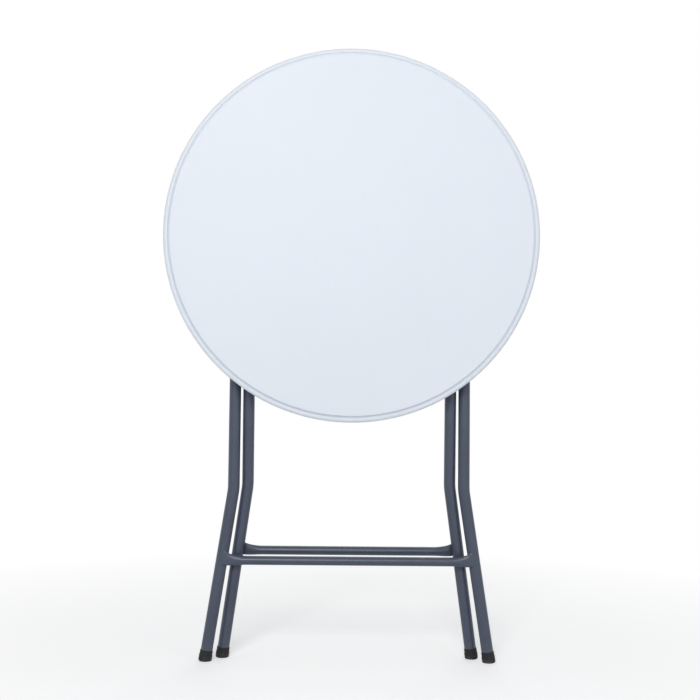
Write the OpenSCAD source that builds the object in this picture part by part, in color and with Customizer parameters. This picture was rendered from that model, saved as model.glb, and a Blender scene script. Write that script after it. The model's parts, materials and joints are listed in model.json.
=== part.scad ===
// Folding cocktail table, stored flat: a round moulded top on two crossing tube frames.
// X runs to the right, Y away from the viewer and Z up, in millimetres.
// The origin is on the floor, under the middle of the folded table.

/* [Tabletop] */
// Diameter of the round top
top_d = 800; // [790:1:830]
// Height of the moulded rim
rim_h = 40; // [34:1:50]
// Width of the rim, from the outer edge to the recess underneath
rim_w = 40; // [32:1:44]
// Depth of the recess underneath
recess_deep = 8; // [6:0.5:10]
// Thickness of the moulded skin
skin = 3; // [2:0.25:3.5]
// Rounding of the outer edges
edge_r = 8; // [6:0.5:8.5]
// Distance from the outer edge to the middle of the face groove
groove_in = 11.5; // [11:0.5:16]
// Width of the face groove
groove_w = 4; // [2:0.25:4.5]
// Depth of the face groove
groove_deep = 1.5; // [0.5:0.1:1.7]

/* [Frames] */
// Diameter of the leg tubes
leg_d = 25; // [24:0.5:26]
// Wall thickness of the tubes
tube_wall = 1.5; // [1.2:0.1:2]
// Height of the outer legs, along the tube, up to the hinge tube
leg_len = 1119; // [1105:1:1140]
// Height of the pivot between the frames, along the tube
pivot_len = 650; // [635:1:665]
// Distance between the centres of the two outer legs
frame_w = 492; // [484:1:500]
// Space between an outer and an inner leg
leg_gap = 4; // [3.8:0.1:5]
// Lean of each frame from upright when stored, in degrees
lean = 1.5; // [1.4:0.05:1.6]
// Height of the bend in the outer legs
outer_bend_h = 362; // [340:1:380]
// Outward lean of the outer legs below the bend, in degrees
outer_flare = 8.65; // [8.3:0.05:9]
// Height of the bend in the inner legs
inner_bend_h = 369; // [350:1:385]
// Outward lean of the inner legs below the bend, in degrees
inner_flare = 7.9; // [7.5:0.05:8.2]
// Radius of the bend in the legs
bend_r = 130; // [100:5:320]

/* [Crossbars] */
// Diameter of the two long crossbars
bar_d = 19; // [16:0.5:20]
// Height of the front crossbar, along the outer legs
front_bar_h = 211; // [195:1:225]
// Height of the rear crossbar, along the inner legs
rear_bar_h = 228; // [215:1:245]
// Height of the pressed flat end of a crossbar
flat_h = 29.5; // [26:0.5:32]
// Thickness of the pressed flat end
flat_t = 5; // [4:0.25:5.5]
// Length of the flat end, from the middle of the leg inwards
flat_len = 5; // [3:0.5:8]
// Length over which a crossbar goes from round to flat
press_len = 47; // [40:1:54]
// How far the flat ends rise above the middle of a crossbar
flat_rise = 5.5; // [4:0.25:5.75]
// Diameter of the bar across the top of the inner legs
rear_top_d = 20; // [16:0.5:22]
// Distance from the pivot down to that bar
rear_top_drop = 50; // [44:1:60]

/* [Feet] */
// Outer diameter of a rubber foot
foot_d = 28.5; // [28:0.25:30]
// Height of a rubber foot
foot_h = 24; // [18:1:32]
// Rubber under the end of the tube
foot_floor = 5; // [4.5:0.25:7]
// Rounding of the foot's lower edge
foot_r = 3.5; // [2:0.25:4]
// Rubber cut away to make the sole flat
sole_trim = 1.5; // [1:0.1:2]

/* [Pivots] */
// Diameter of the pivot bolts
bolt_d = 8; // [6:0.25:9]
// Diameter of a pivot bolt's head
bolt_head_d = 17; // [14:0.5:20]
// Height of a pivot bolt's head
bolt_head_h = 4; // [3:0.25:6]
// Thickness of the stop plates
plate_t = 2.5; // [2:0.1:2.7]
// Radius of the path of the stop pins
stop_r = 22; // [20:0.5:24]
// Diameter of the stop pins
stop_pin_d = 5; // [4:0.25:6]
// Metal left outside the slot of a stop plate
plate_margin = 4; // [3:0.25:6]
// Travel of the legs from stored to open, in degrees
spread_travel = 45; // [40:1:50]
// Length of the inner legs above the pivot
stub = 10; // [8:0.5:11]

/* [Hinge] */
// Distance from the hinge to the back of the rim
hinge_off = 18; // [17.5:0.25:22]
// Distance from the upper edge of the stored top down to the hinge
hinge_in = 186; // [180:1:196]
// Travel of the top from stored to open, in degrees
tilt_travel = 66; // [60:1:68]
// Width of a hinge saddle
saddle_w = 26; // [24:1:30]
// Wall of a hinge saddle round the tube
saddle_wall = 3.5; // [2.5:0.25:4.5]
// Length of the screw flange of a hinge saddle, up from the hinge
saddle_len = 50; // [46:1:60]
// Thickness of the screw flange
saddle_t = 3; // [2:0.25:4]
// Length of a collar beside a hinge saddle
collar_len = 8; // [5:0.5:12]

/* [Rails] */
// Distance from the middle to a steel rail
rail_x = 150; // [146:1:154]
// Space between the corners of a rail and the rim
rail_end_gap = 22.9; // [18:0.1:50]
// Width of a rail
rail_w = 38; // [36:0.5:40]
// Thickness of a rail
rail_t = 2.5; // [2:0.1:2.6]

/* [Stay] */
// Distance from the hinge to the pivot of the stay
stay_drop = 420; // [412:1:430]
// Distance from the middle to an arm of the stay
arm_x = 100; // [97:1:104]
// Width of an arm
arm_w = 13; // [11:0.25:13.5]
// Thickness of an arm
arm_t = 4; // [3:0.25:5]
// Diameter of the pins that the arms turn on
pin_d = 7; // [6:0.25:8]
// Diameter of the bar at the end of the arms
stay_bar_d = 8; // [7:0.25:8.5]
// Distance of the arms' centre line from the floor of the recess
stay_lift = 7.5; // [7:0.1:8]
// Distance from the hinge down to the catches on the legs
catch_drop = 190; // [180:1:200]
// Thickness of a catch
catch_t = 4; // [3:0.25:6]
// Metal round the notch of a catch
catch_wall = 6; // [4:0.5:8]
// Thickness of the sheet of a stay bracket
ear_t = 2.5; // [2:0.1:3]
// Length of the foot of a stay bracket
bracket_foot = 17; // [15:0.5:20]

/* [Details] */
// Diameter of the shank of the screws
screw_d = 4; // [3:0.25:5]
// Diameter of the head of the screws
screw_head_d = 8; // [6:0.25:9]
// Height of the head of the screws
screw_head_h = 2.4; // [1.5:0.1:3]
// Length of the screws under the head
screw_len = 9; // [6:0.5:10]
// Diameter of a bumper pad
pad_d = 20; // [14:1:22]
// Distance between the rows of moulded dimples
dimple_pitch = 100; // [92:1:104]
// Diameter of a moulded dimple at its mouth
dimple_d = 28; // [20:1:30]
// Diameter of a moulded dimple at its bottom
dimple_floor_d = 16; // [10:1:18]

/* [Hidden] */
$fn = 64;

steel_colour = "#555b69";
zinc_colour = "#b9bdc2";
rubber_colour = "#18191b";
top_colour = "#e9eef4";

// Clearance of a turning fit
run_gap = 0.06;
// Clearance between flat faces that slide
side_gap = 0.3;
// How far a saddled end reaches into the round of its tube
seat_bite = 0.6;
// Overrun of every cut
over = 1;

// Main places, measured from the pivot between the frames
top_r = top_d / 2;
leg_r = leg_d / 2;
bar_r = bar_d / 2;
foot_rad = foot_d / 2;
outer_x = frame_w / 2;
inner_x = outer_x - leg_d - leg_gap;
hinge_up = top_r - hinge_in;
hinge_z = leg_len - pivot_len;
top_z = hinge_z - hinge_up;
face_y = -(hinge_off + rim_h);
floor_y = -(hinge_off + recess_deep);
rail_y = floor_y + rail_t;
catch_z = hinge_z - catch_drop;
pivot_up = pivot_len * cos(lean);

// The table stands with the middle of its depth over the origin
front_reach = (hinge_off + rim_h - edge_r) * cos(lean) + (top_r - edge_r - top_z) * sin(lean) + edge_r;
back_reach = (pivot_len - foot_r) * sin(lean) + foot_rad * cos(lean);
pivot_y = (front_reach - back_reach) / 2;

// The stay is as long as its bar needs to lie in the catches when the top is open
stay_y = floor_y + stay_lift;
stay_z = hinge_z - stay_drop;
open_y = stay_y * cos(tilt_travel) - stay_drop * sin(tilt_travel);
open_z = -stay_y * sin(tilt_travel) - stay_drop * cos(tilt_travel);
arm_len = sqrt(pow(open_y, 2) + pow(open_z + catch_drop, 2));
arm_slope = atan2(-(open_z + catch_drop), -open_y);
stay_bar_z = stay_z + arm_len;

// Places of the frames in the stored table
module front_place() {
    translate([0, pivot_y, pivot_up]) rotate([-lean, 0, 0]) children();
}

module rear_place() {
    translate([0, pivot_y, pivot_up]) rotate([lean, 0, 0]) children();
}

// The floor, to cut the soles flat
module below_floor() {
    translate([-top_d / 2, -top_d / 2, -foot_h]) cube([top_d, top_d, foot_h]);
}

// A flat outline in Y and Z, made solid along X from a given place
module along_x(from, length) {
    translate([from, 0, 0]) rotate([90, 0, 90]) linear_extrude(length) children();
}

module on_left() {
    mirror([1, 0, 0]) children();
}

module on_both_sides() {
    children();
    on_left() children();
}

// Round bar or tube between two places on X
module bar_x(from, to, d) {
    translate([from, 0, 0]) rotate([0, 90, 0]) cylinder(d = d, h = to - from);
}

module ring(d, wall) {
    difference() {
        circle(d = d);
        circle(d = d - 2 * wall);
    }
}

// Where a leg bends, and where its foot is
function bend_tangent(flare) = bend_r * tan(flare / 2);
function bend_top(bend_h, flare) = bend_h - pivot_len + bend_tangent(flare);
function bend_end_x(x, flare) = x + bend_r * (1 - cos(flare));
function bend_end_z(bend_h, flare) = bend_top(bend_h, flare) - bend_r * sin(flare);
function below_x(x, bend_h, flare, z) = bend_end_x(x, flare) + (bend_end_z(bend_h, flare) - z) * tan(flare);

// Places its children on the lower leg, at height z, with their own Z up along the tube
module on_lower_leg(x, bend_h, flare, z) {
    translate([below_x(x, bend_h, flare, z), 0, z]) rotate([0, -flare, 0]) children();
}

// Solid skin over rings of points, each ring turning right-handed about the way they run
module ring_skin(rings) {
    count = len(rings[0]);
    last = len(rings) - 1;
    sides = [
        for (j = [0:last - 1])
            for (i = [0:count - 1])
                let (k = (i + 1) % count)
                for (face = [
                    [j * count + i, (j + 1) * count + i, j * count + k],
                    [j * count + k, (j + 1) * count + i, (j + 1) * count + k]
                ]) face
    ];
    first_cap = [for (i = [0:count - 1]) i];
    last_cap = [for (i = [count - 1:-1:0]) last * count + i];
    polyhedron([for (points = rings) for (p = points) p], concat([first_cap], sides, [last_cap]));
}

bend_sides = 36;
bend_steps = 6;
// How far the bend reaches into the straight tubes, and how far inside their wall it stays
lap = 1.5;
lap_gap = 0.02;

// Ring of the bend, after turning by a, moved on by a distance along the tube
function bend_ring(x, start, a, on, r) = [
    for (i = [0:bend_sides - 1])
        let (turn = -i * 360 / bend_sides)
        [
            x + bend_r * (1 - cos(a)) + on * sin(a) + r * cos(turn) * cos(a),
            r * sin(turn),
            start - bend_r * sin(a) - on * cos(a) + r * cos(turn) * sin(a)
        ]
];

module bend_solid(x, start, flare, r, reach) {
    ring_skin(concat(
        [bend_ring(x, start, 0, -reach, r)],
        [for (i = [0:bend_steps]) bend_ring(x, start, flare * i / bend_steps, 0, r)],
        [bend_ring(x, start, flare, reach, r)]
    ));
}

// Bent leg tube on the right side, from its foot up to top
module bent_tube(x, bend_h, flare, top, bottom) {
    start = bend_top(bend_h, flare);
    lower = (bend_end_z(bend_h, flare) - bottom) / cos(flare);
    translate([x, 0, start]) linear_extrude(top - start) ring(leg_d, tube_wall);
    difference() {
        bend_solid(x, start, flare, leg_r - lap_gap, lap);
        bend_solid(x, start, flare, leg_r - tube_wall + 4 * lap_gap, 2 * lap);
    }
    on_lower_leg(x, bend_h, flare, bottom) linear_extrude(lower) ring(leg_d, tube_wall);
}

// Height of the end of the tube inside its foot
tube_end = -pivot_len - sole_trim + foot_floor;

module outer_leg() {
    difference() {
        bent_tube(outer_x, outer_bend_h, outer_flare, hinge_z - leg_r / 2, tube_end);
        translate([0, 0, hinge_z]) bar_x(outer_x - leg_d, outer_x + leg_d, leg_d);
        bar_x(outer_x - leg_d, outer_x + leg_d, bolt_d);
    }
}

module inner_leg() {
    difference() {
        bent_tube(inner_x, inner_bend_h, inner_flare, stub, tube_end);
        bar_x(inner_x - leg_d, inner_x + leg_d, bolt_d + 2 * run_gap);
        translate([0, 0, -stop_r]) bar_x(inner_x, inner_x + leg_d, stop_pin_d);
    }
}

module front_left_leg() {
    color(steel_colour) front_place() on_left() outer_leg();
}

module front_right_leg() {
    color(steel_colour) front_place() outer_leg();
}

module rear_left_leg() {
    color(steel_colour) rear_place() on_left() inner_leg();
}

module rear_right_leg() {
    color(steel_colour) rear_place() inner_leg();
}

// Rubber foot: a sleeve with a rounded lower edge, cut flat where it stands
module foot_sleeve() {
    sleeve = foot_h - foot_floor;
    rotate_extrude() difference() {
        union() {
            square([foot_rad - foot_r, foot_h]);
            translate([0, foot_r]) square([foot_rad, foot_h - foot_r]);
            translate([foot_rad - foot_r, foot_r]) intersection() {
                circle(foot_r);
                translate([-foot_r, -foot_r]) square([2 * foot_r, foot_r]);
            }
        }
        translate([-over, foot_floor]) square([leg_r + over, sleeve + over]);
    }
}

module outer_foot() {
    on_lower_leg(outer_x, outer_bend_h, outer_flare, tube_end)
        translate([0, 0, -foot_floor]) foot_sleeve();
}

module inner_foot() {
    on_lower_leg(inner_x, inner_bend_h, inner_flare, tube_end)
        translate([0, 0, -foot_floor]) foot_sleeve();
}

module front_left_foot() {
    color(rubber_colour) difference() {
        front_place() on_left() outer_foot();
        below_floor();
    }
}

module front_right_foot() {
    color(rubber_colour) difference() {
        front_place() outer_foot();
        below_floor();
    }
}

module rear_left_foot() {
    color(rubber_colour) difference() {
        rear_place() on_left() inner_foot();
        below_floor();
    }
}

module rear_right_foot() {
    color(rubber_colour) difference() {
        rear_place() inner_foot();
        below_floor();
    }
}

// A pressed end goes from round to flat. Each row of press_shares is a share of the length,
// a share of the change and a share of the rise; a section grows squarer as it flattens.
press_shares = [
    [0, 0, 0], [0.2, 0.06, 0.01], [0.4, 0.2, 0.05], [0.6, 0.38, 0.15], [0.8, 0.62, 0.4], [1, 1, 1]
];
section_sides = 28;
square_share = 0.68;
crown_share = 0.5;

function blend(a, b, share) = a + (b - a) * share;
function bulge(v, power) = sign(v) * pow(abs(v), power);

// Section of a pressed end at x, as points; round_y and flat_y are its middle, front to back
function press_section(x, share, rise, round_y, flat_y) = [
    for (i = [0:section_sides - 1])
        let (
            turn = (i + 0.5) * 360 / section_sides,
            power = 1 - square_share * share,
            half_y = blend(bar_r - lap_gap, flat_t / 2, share),
            half_z = blend(bar_r - lap_gap, flat_h / 2, share)
        )
        [
            x,
            blend(round_y, flat_y, share) + half_y * bulge(cos(turn), power),
            rise + half_z * bulge(sin(turn), blend(1, power, crown_share))
        ]
];

module pressed_end(from, press_to, to, round_y, flat_y) {
    ring_skin(concat(
        [press_section(from - lap, 0, 0, round_y, flat_y)],
        [
            for (s = press_shares)
                press_section(blend(from, press_to, s[0]), s[1], s[2] * flat_rise, round_y, flat_y)
        ],
        [press_section(to, 1, flat_rise, round_y, flat_y)]
    ));
}

// Crossbar: a tube with a pressed end on each side
module crossbar(end_x, round_y, flat_y) {
    press_to = end_x - flat_len;
    from = press_to - press_len;
    translate([-from, round_y, 0]) rotate([0, 90, 0]) linear_extrude(2 * from) ring(bar_d, tube_wall);
    on_both_sides() pressed_end(from, press_to, end_x, round_y, flat_y);
}

// The flat ends of the front crossbar lie on the front of the outer legs
front_bar_z = front_bar_h - pivot_len;
front_bar_x = below_x(outer_x, outer_bend_h, outer_flare, front_bar_z);
flat_y = leg_r - seat_bite;
round_y = leg_r - bar_r + flat_t / 2;

module front_crossbar() {
    color(steel_colour) front_place() difference() {
        translate([0, 0, front_bar_z]) crossbar(front_bar_x, -round_y, -flat_y);
        on_both_sides() on_lower_leg(outer_x, outer_bend_h, outer_flare, front_bar_z - flat_h)
            cylinder(d = leg_d, h = 2 * flat_h);
    }
}

// The flat ends of the rear crossbar lie on the back of the inner legs
rear_bar_z = rear_bar_h - pivot_len;
rear_bar_x = below_x(inner_x, inner_bend_h, inner_flare, rear_bar_z);

module rear_crossbar() {
    color(steel_colour) rear_place() difference() {
        translate([0, 0, rear_bar_z]) crossbar(rear_bar_x, round_y, flat_y);
        on_both_sides() on_lower_leg(inner_x, inner_bend_h, inner_flare, rear_bar_z - flat_h)
            cylinder(d = leg_d, h = 2 * flat_h);
    }
}

// Straight tube across a frame, its ends saddled on the legs
module straight_bar(x, z, d) {
    difference() {
        translate([-x + leg_r / 2, 0, z]) rotate([0, 90, 0])
            linear_extrude(2 * x - leg_r) ring(d, tube_wall);
        on_both_sides() translate([x, 0, z - d]) cylinder(d = leg_d, h = 2 * d);
    }
}

module rear_top_bar() {
    color(steel_colour) rear_place() straight_bar(inner_x, -rear_top_drop, rear_top_d);
}

// Hinge tube on top of the outer legs, with a plug in each end
hinge_end_x = outer_x + leg_r + plate_t;
plug_depth = leg_r;
plug_rim = plate_t;

module hinge_tube() {
    color(steel_colour) front_place() translate([-hinge_end_x, 0, hinge_z])
        rotate([0, 90, 0]) linear_extrude(2 * hinge_end_x) ring(leg_d, tube_wall);
}

// Push-in plug, its rim outside the tube and its stem along -Z
module tube_plug(stem) {
    translate([0, 0, -stem]) cylinder(d = leg_d - 2 * tube_wall, h = stem);
    cylinder(d1 = leg_d, d2 = leg_d - plug_rim, h = plug_rim);
}

module hinge_tube_plugs() {
    color(rubber_colour) front_place() on_both_sides()
        translate([hinge_end_x, 0, hinge_z]) rotate([0, 90, 0]) tube_plug(plug_depth);
}

// The plug in the top of an inner leg clears the pivot bolt
stub_stem = (stub - bolt_d / 2) / 2;

module rear_leg_plugs() {
    color(rubber_colour) rear_place() on_both_sides() translate([inner_x, 0, stub]) tube_plug(stub_stem);
}

saddle_side = rail_x + saddle_w / 2;
collar_d = leg_d + 2 * saddle_wall;

module hinge_collars() {
    color(zinc_colour) front_place() on_both_sides()
        translate([saddle_side + side_gap, 0, hinge_z]) rotate([0, 90, 0])
            linear_extrude(collar_len) ring(collar_d, saddle_wall);
}

// Stop plate beside the outer leg: the pin of the inner leg runs in its curved slot
slot_w = stop_pin_d + 2 * side_gap;
slot_first = -90 + 2 * lean;
slot_end_turn = asin((stop_pin_d / 2 + side_gap) / stop_r);
plate_r = stop_r + slot_w / 2 + plate_margin;
plate_turn = slot_end_turn + asin(plate_margin / stop_r);
plate_in = outer_x - leg_r - plate_t;

function on_circle(r, turn) = [r * cos(turn), r * sin(turn)];

module slot_outline() {
    first = slot_first - slot_end_turn;
    last = slot_first + spread_travel + slot_end_turn;
    intersection() {
        ring(2 * stop_r + slot_w, slot_w);
        polygon([[0, 0], on_circle(2 * plate_r, first), on_circle(2 * plate_r, (first + last) / 2),
            on_circle(2 * plate_r, last)]);
    }
}

module plate_outline() {
    first = slot_first - plate_turn;
    last = slot_first + spread_travel + plate_turn;
    circle(r = leg_r);
    intersection() {
        circle(plate_r);
        polygon([[0, 0], on_circle(2 * plate_r, first), on_circle(2 * plate_r, (first + last) / 2),
            on_circle(2 * plate_r, last)]);
    }
}

module stop_plate() {
    difference() {
        along_x(plate_in, plate_t + seat_bite) difference() {
            plate_outline();
            slot_outline();
            circle(d = bolt_d);
        }
        translate([outer_x, 0, -leg_len / 2]) cylinder(d = leg_d, h = leg_len);
    }
}

module left_stop_plate() {
    color(zinc_colour) front_place() on_left() stop_plate();
}

module right_stop_plate() {
    color(zinc_colour) front_place() stop_plate();
}

// The stop pin stands in the wall of the inner leg and ends inside the plate's slot
pin_root = inner_x + leg_r - tube_wall;
pin_tip = plate_in + plate_t;

module stop_pins() {
    color(zinc_colour) rear_place() on_both_sides()
        translate([0, 0, -stop_r]) bar_x(pin_root, pin_tip, stop_pin_d);
}

// Bush between an inner leg and its stop plate, saddled on the leg
bush_d = bolt_d + 2 * (leg_gap + side_gap);

module pivot_bushes() {
    color(rubber_colour) rear_place() on_both_sides() difference() {
        bar_x(inner_x + leg_r - seat_bite, plate_in - side_gap, bush_d);
        bar_x(inner_x, plate_in + over, bolt_d + 2 * run_gap);
        translate([inner_x, 0, -bush_d]) cylinder(d = leg_d, h = 2 * bush_d);
    }
}

// Pivot bolt from the outside of the outer leg to the nut inside the inner leg
bolt_head_x = outer_x + leg_r - seat_bite;
nut_x = inner_x - leg_r - side_gap;
nut_h_share = 0.8;
nut_across_share = 1.8;
nut_h = bolt_d * nut_h_share;
nut_across = bolt_d * nut_across_share;

module pivot_bolts() {
    color(zinc_colour) front_place() on_both_sides() {
        bar_x(nut_x - nut_h - over, bolt_head_x + seat_bite, bolt_d);
        difference() {
            bar_x(bolt_head_x, bolt_head_x + seat_bite + bolt_head_h, bolt_head_d);
            translate([outer_x, 0, -leg_d]) cylinder(d = leg_d, h = 2 * leg_d);
        }
    }
}

module pivot_nuts() {
    color(zinc_colour) front_place() on_both_sides() difference() {
        translate([nut_x - nut_h, 0, 0]) rotate([0, 90, 0]) cylinder(d = nut_across, h = nut_h, $fn = 6);
        bar_x(nut_x - nut_h - over, nut_x + over, bolt_d);
    }
}

// Catch on the inner side of an outer leg: the bar of the stay drops into its notch
notch_r = stay_bar_d / 2 + side_gap;
catch_r = notch_r + catch_wall;
catch_in = outer_x - leg_r - catch_t;

module stay_catch() {
    difference() {
        along_x(catch_in, catch_t + seat_bite) translate([0, catch_z]) difference() {
            union() {
                circle(catch_r);
                translate([-catch_r, 0]) square([2 * catch_r, catch_r]);
            }
            rotate(arm_slope) {
                circle(notch_r);
                translate([-notch_r, 0]) square([2 * notch_r, 2 * catch_r]);
            }
        }
        translate([outer_x, 0, 0]) cylinder(d = leg_d, h = leg_len);
    }
}

module left_stay_catch() {
    color(steel_colour) front_place() on_left() stay_catch();
}

module right_stay_catch() {
    color(steel_colour) front_place() stay_catch();
}

// Round shape with its Z along the depth of the top, at a place on the top
module through_top(x, y, up) {
    front_place() translate([x, y, top_z + up]) rotate([-90, 0, 0]) children();
}

// Half section of a disc with rounded edges
module disc_section(r, h, round_r) {
    square([r - round_r, h]);
    translate([0, round_r]) square([r, h - 2 * round_r]);
    translate([r - round_r, round_r]) circle(round_r);
    translate([r - round_r, h - round_r]) circle(round_r);
}

recess_r = top_r - rim_w;
recess_floor = rim_h - recess_deep;
groove_round = (pow(groove_w / 2, 2) + pow(groove_deep, 2)) / (2 * groove_deep);

// Rows of dimples join the two skins. A column is its distance from the middle and
// the share of a row that it is shifted by.
dimple_margin = dimple_d / 2 + 2 * skin;
clip_x = arm_x / 2;
rail_column_share = 0.55;
pad_x = outer_x;
dimple_columns = [
    [0, 0],
    [clip_x, 0.5],
    [rail_x + rail_column_share * dimple_pitch, 0],
    [2 * pad_x - rail_x - rail_column_share * dimple_pitch, 0.5]
];
dimple_places = [
    for (column = dimple_columns)
        for (side = column[0] > 0 ? [-1, 1] : [1])
            for (row = [-floor(top_r / dimple_pitch):floor(top_r / dimple_pitch)])
                let (place = [side * column[0], (row + column[1]) * dimple_pitch])
                if (norm(place) + dimple_margin < recess_r) place
];

// Dimple, widened all round by a wall
module dimple(place, wall, bottom) {
    mouth_r = dimple_d / 2 + wall;
    floor_r = dimple_floor_d / 2 + wall;
    translate([place[0], -place[1], bottom])
        cylinder(r1 = floor_r, r2 = mouth_r, h = recess_floor - bottom);
}

// Places of the screws, as distances from the middle of the top
rail_len = 2 * (sqrt(pow(recess_r, 2) - pow(rail_x + rail_w / 2, 2)) - rail_end_gap);
rail_screw_in = rail_w / 2 - screw_head_d / 2 - side_gap;
rail_rows_share = [-0.46, 0, 0.46];
rail_screw_places = [
    for (side = [-1, 1])
        for (edge = [-1, 1])
            for (row = rail_rows_share) [side * rail_x + edge * rail_screw_in, row * rail_len]
];
saddle_rows_share = [0.25, 0.75];
saddle_block_r = leg_r + saddle_wall;
saddle_screw_in = saddle_w / 2 - screw_head_d / 2 - side_gap;
saddle_screw_places = [
    for (side = [-1, 1])
        for (edge = [-1, 1])
            for (row = saddle_rows_share)
                [
                    side * rail_x + edge * saddle_screw_in,
                    hinge_up + saddle_block_r + row * (saddle_len - saddle_block_r)
                ]
];
bracket_half_w = arm_t / 2 + side_gap + ear_t + screw_head_d + side_gap;
bracket_screw_x = bracket_half_w - screw_head_d / 2;
bracket_foot_up = -arm_w / 2 - side_gap - bracket_foot;
bracket_screw_places = [
    for (side = [-1, 1])
        for (edge = [-1, 1])
            [side * (arm_x + edge * bracket_screw_x), stay_z - top_z + bracket_foot_up + bracket_foot / 2]
];

screw_places = concat(rail_screw_places, saddle_screw_places, bracket_screw_places);

module shank_holes(places, depth, from) {
    for (place = places)
        translate([place[0], -place[1], from]) cylinder(d = screw_d, h = depth);
}

module top_panel() {
    shell_r = top_r - skin;
    color(top_colour) through_top(0, face_y, 0) difference() {
        rotate_extrude() difference() {
            disc_section(top_r, rim_h, edge_r);
            translate([0, recess_floor]) square([recess_r, recess_deep + over]);
            translate([top_r - groove_in, groove_deep - groove_round]) circle(groove_round);
        }
        difference() {
            rotate_extrude() difference() {
                translate([0, skin]) disc_section(shell_r, rim_h - 2 * skin, edge_r - skin);
                translate([0, recess_floor - skin]) square([recess_r + skin, recess_deep + skin]);
            }
            for (place = dimple_places) dimple(place, skin, 0);
        }
        for (place = dimple_places) dimple(place, 0, 2 * skin);
        shank_holes(screw_places, 2 * skin, recess_floor - skin - over);
    }
}

// Rail: a flat steel strip that spreads the load of the hinge
module rail(side) {
    through_top(side * rail_x, floor_y, 0) difference() {
        translate([-rail_w / 2, -rail_len / 2, 0]) cube([rail_w, rail_len, rail_t]);
        for (place = concat(rail_screw_places, saddle_screw_places))
            translate([place[0] - side * rail_x, -place[1], -over]) cylinder(d = screw_d, h = rail_t + 2 * over);
    }
}

module left_rail() {
    color(steel_colour) rail(-1);
}

module right_rail() {
    color(steel_colour) rail(1);
}

// Pan-head screw, its head on the plane Z = 0
module screw() {
    top_share = 0.6;
    translate([0, 0, -screw_len]) cylinder(d = screw_d, h = screw_len);
    cylinder(d1 = screw_head_d, d2 = screw_head_d * top_share, h = screw_head_h);
}

module rail_screws() {
    color(zinc_colour) for (place = rail_screw_places)
        through_top(place[0], rail_y, place[1]) screw();
}

// Hinge saddle: a block round the hinge tube, with a flange that is screwed through the rail
module hinge_saddle(side) {
    difference() {
        along_x(side * rail_x - saddle_w / 2, saddle_w) translate([0, hinge_z]) difference() {
            union() {
                circle(saddle_block_r);
                translate([rail_y, -saddle_block_r]) square([-rail_y, 2 * saddle_block_r]);
                translate([rail_y, 0]) square([saddle_t, saddle_len]);
            }
            circle(leg_r + run_gap);
        }
        for (place = saddle_screw_places)
            translate([place[0], rail_y - over, top_z + place[1]])
                rotate([-90, 0, 0]) cylinder(d = screw_d, h = saddle_t + 2 * over);
    }
}

module left_hinge_saddle() {
    color(zinc_colour) front_place() hinge_saddle(-1);
}

module right_hinge_saddle() {
    color(zinc_colour) front_place() hinge_saddle(1);
}

module saddle_screws() {
    color(zinc_colour) for (place = saddle_screw_places)
        through_top(place[0], rail_y + saddle_t, place[1]) screw();
}

// Bracket of the stay: two ears beside the arm, on a foot that is clear of the arm's end
module stay_bracket(side) {
    ear_r = pin_d / 2 + ear_t;
    ear_in = arm_t / 2 + side_gap;
    foot_z = stay_z + bracket_foot_up;
    difference() {
        union() {
            for (edge = [-1, 1])
                along_x(side * arm_x + edge * (ear_in + ear_t / 2) - ear_t / 2, ear_t) {
                    translate([stay_y, stay_z]) circle(ear_r);
                    translate([floor_y, foot_z]) square([stay_lift, -bracket_foot_up + ear_r]);
                    translate([floor_y, foot_z]) square([stay_lift + ear_r, -bracket_foot_up]);
                }
            translate([side * arm_x - bracket_half_w, floor_y, foot_z])
                cube([2 * bracket_half_w, ear_t, bracket_foot]);
        }
        translate([0, stay_y, stay_z]) bar_x(side * arm_x - arm_w, side * arm_x + arm_w, pin_d);
        for (edge = [-1, 1])
            translate([side * arm_x + edge * bracket_screw_x, floor_y - over, foot_z + bracket_foot / 2])
                rotate([-90, 0, 0]) cylinder(d = screw_d, h = ear_t + 2 * over);
    }
}

module stay_left_bracket() {
    color(zinc_colour) front_place() stay_bracket(-1);
}

module stay_right_bracket() {
    color(zinc_colour) front_place() stay_bracket(1);
}

module bracket_screws() {
    color(zinc_colour) for (place = bracket_screw_places)
        through_top(place[0], floor_y + ear_t, place[1]) screw();
}

module stay_pivot_pins() {
    half = arm_t / 2 + side_gap + ear_t;
    color(zinc_colour) front_place() for (side = [-1, 1]) translate([side * arm_x, stay_y, stay_z]) {
        bar_x(-half, half, pin_d);
        for (edge = [-1, 1])
            translate([edge * (half + ear_t / 2) - ear_t / 2, 0, 0]) rotate([0, 90, 0])
                cylinder(d = pin_d + ear_t, h = ear_t);
    }
}

// Clip that holds the bar of the stay when the table is stored
clip_w = stay_bar_d * 2;
clip_wall = skin;
clip_foot = clip_w;

module stay_clips() {
    hold_r = stay_bar_d / 2 + side_gap;
    color(rubber_colour) front_place() for (side = [-1, 1])
        along_x(side * clip_x - clip_w / 2, clip_w) translate([stay_y, stay_bar_z]) difference() {
            union() {
                circle(hold_r + clip_wall);
                translate([-stay_lift, -clip_foot]) square([clip_wall, 2 * clip_foot]);
                translate([-stay_lift, -hold_r - clip_wall]) square([stay_lift, 2 * (hold_r + clip_wall)]);
            }
            circle(hold_r);
            translate([0, -hold_r]) square([2 * hold_r + clip_wall, 2 * hold_r]);
            translate([-stay_lift - clip_wall, -2 * clip_foot]) square([clip_wall, 4 * clip_foot]);
        }
}

// Rubber pads that keep the stored top off the outer legs
module bumper_pads() {
    pad_h = -leg_r - side_gap - floor_y;
    color(rubber_colour) for (side = [-1, 1]) for (edge = [-1, 1])
        through_top(side * pad_x, floor_y, edge * dimple_pitch) {
            cylinder(d = pad_d, h = pad_h / 2);
            translate([0, 0, pad_h / 2]) cylinder(d1 = pad_d, d2 = pad_d - pad_h / 2, h = pad_h / 2);
        }
}

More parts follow.
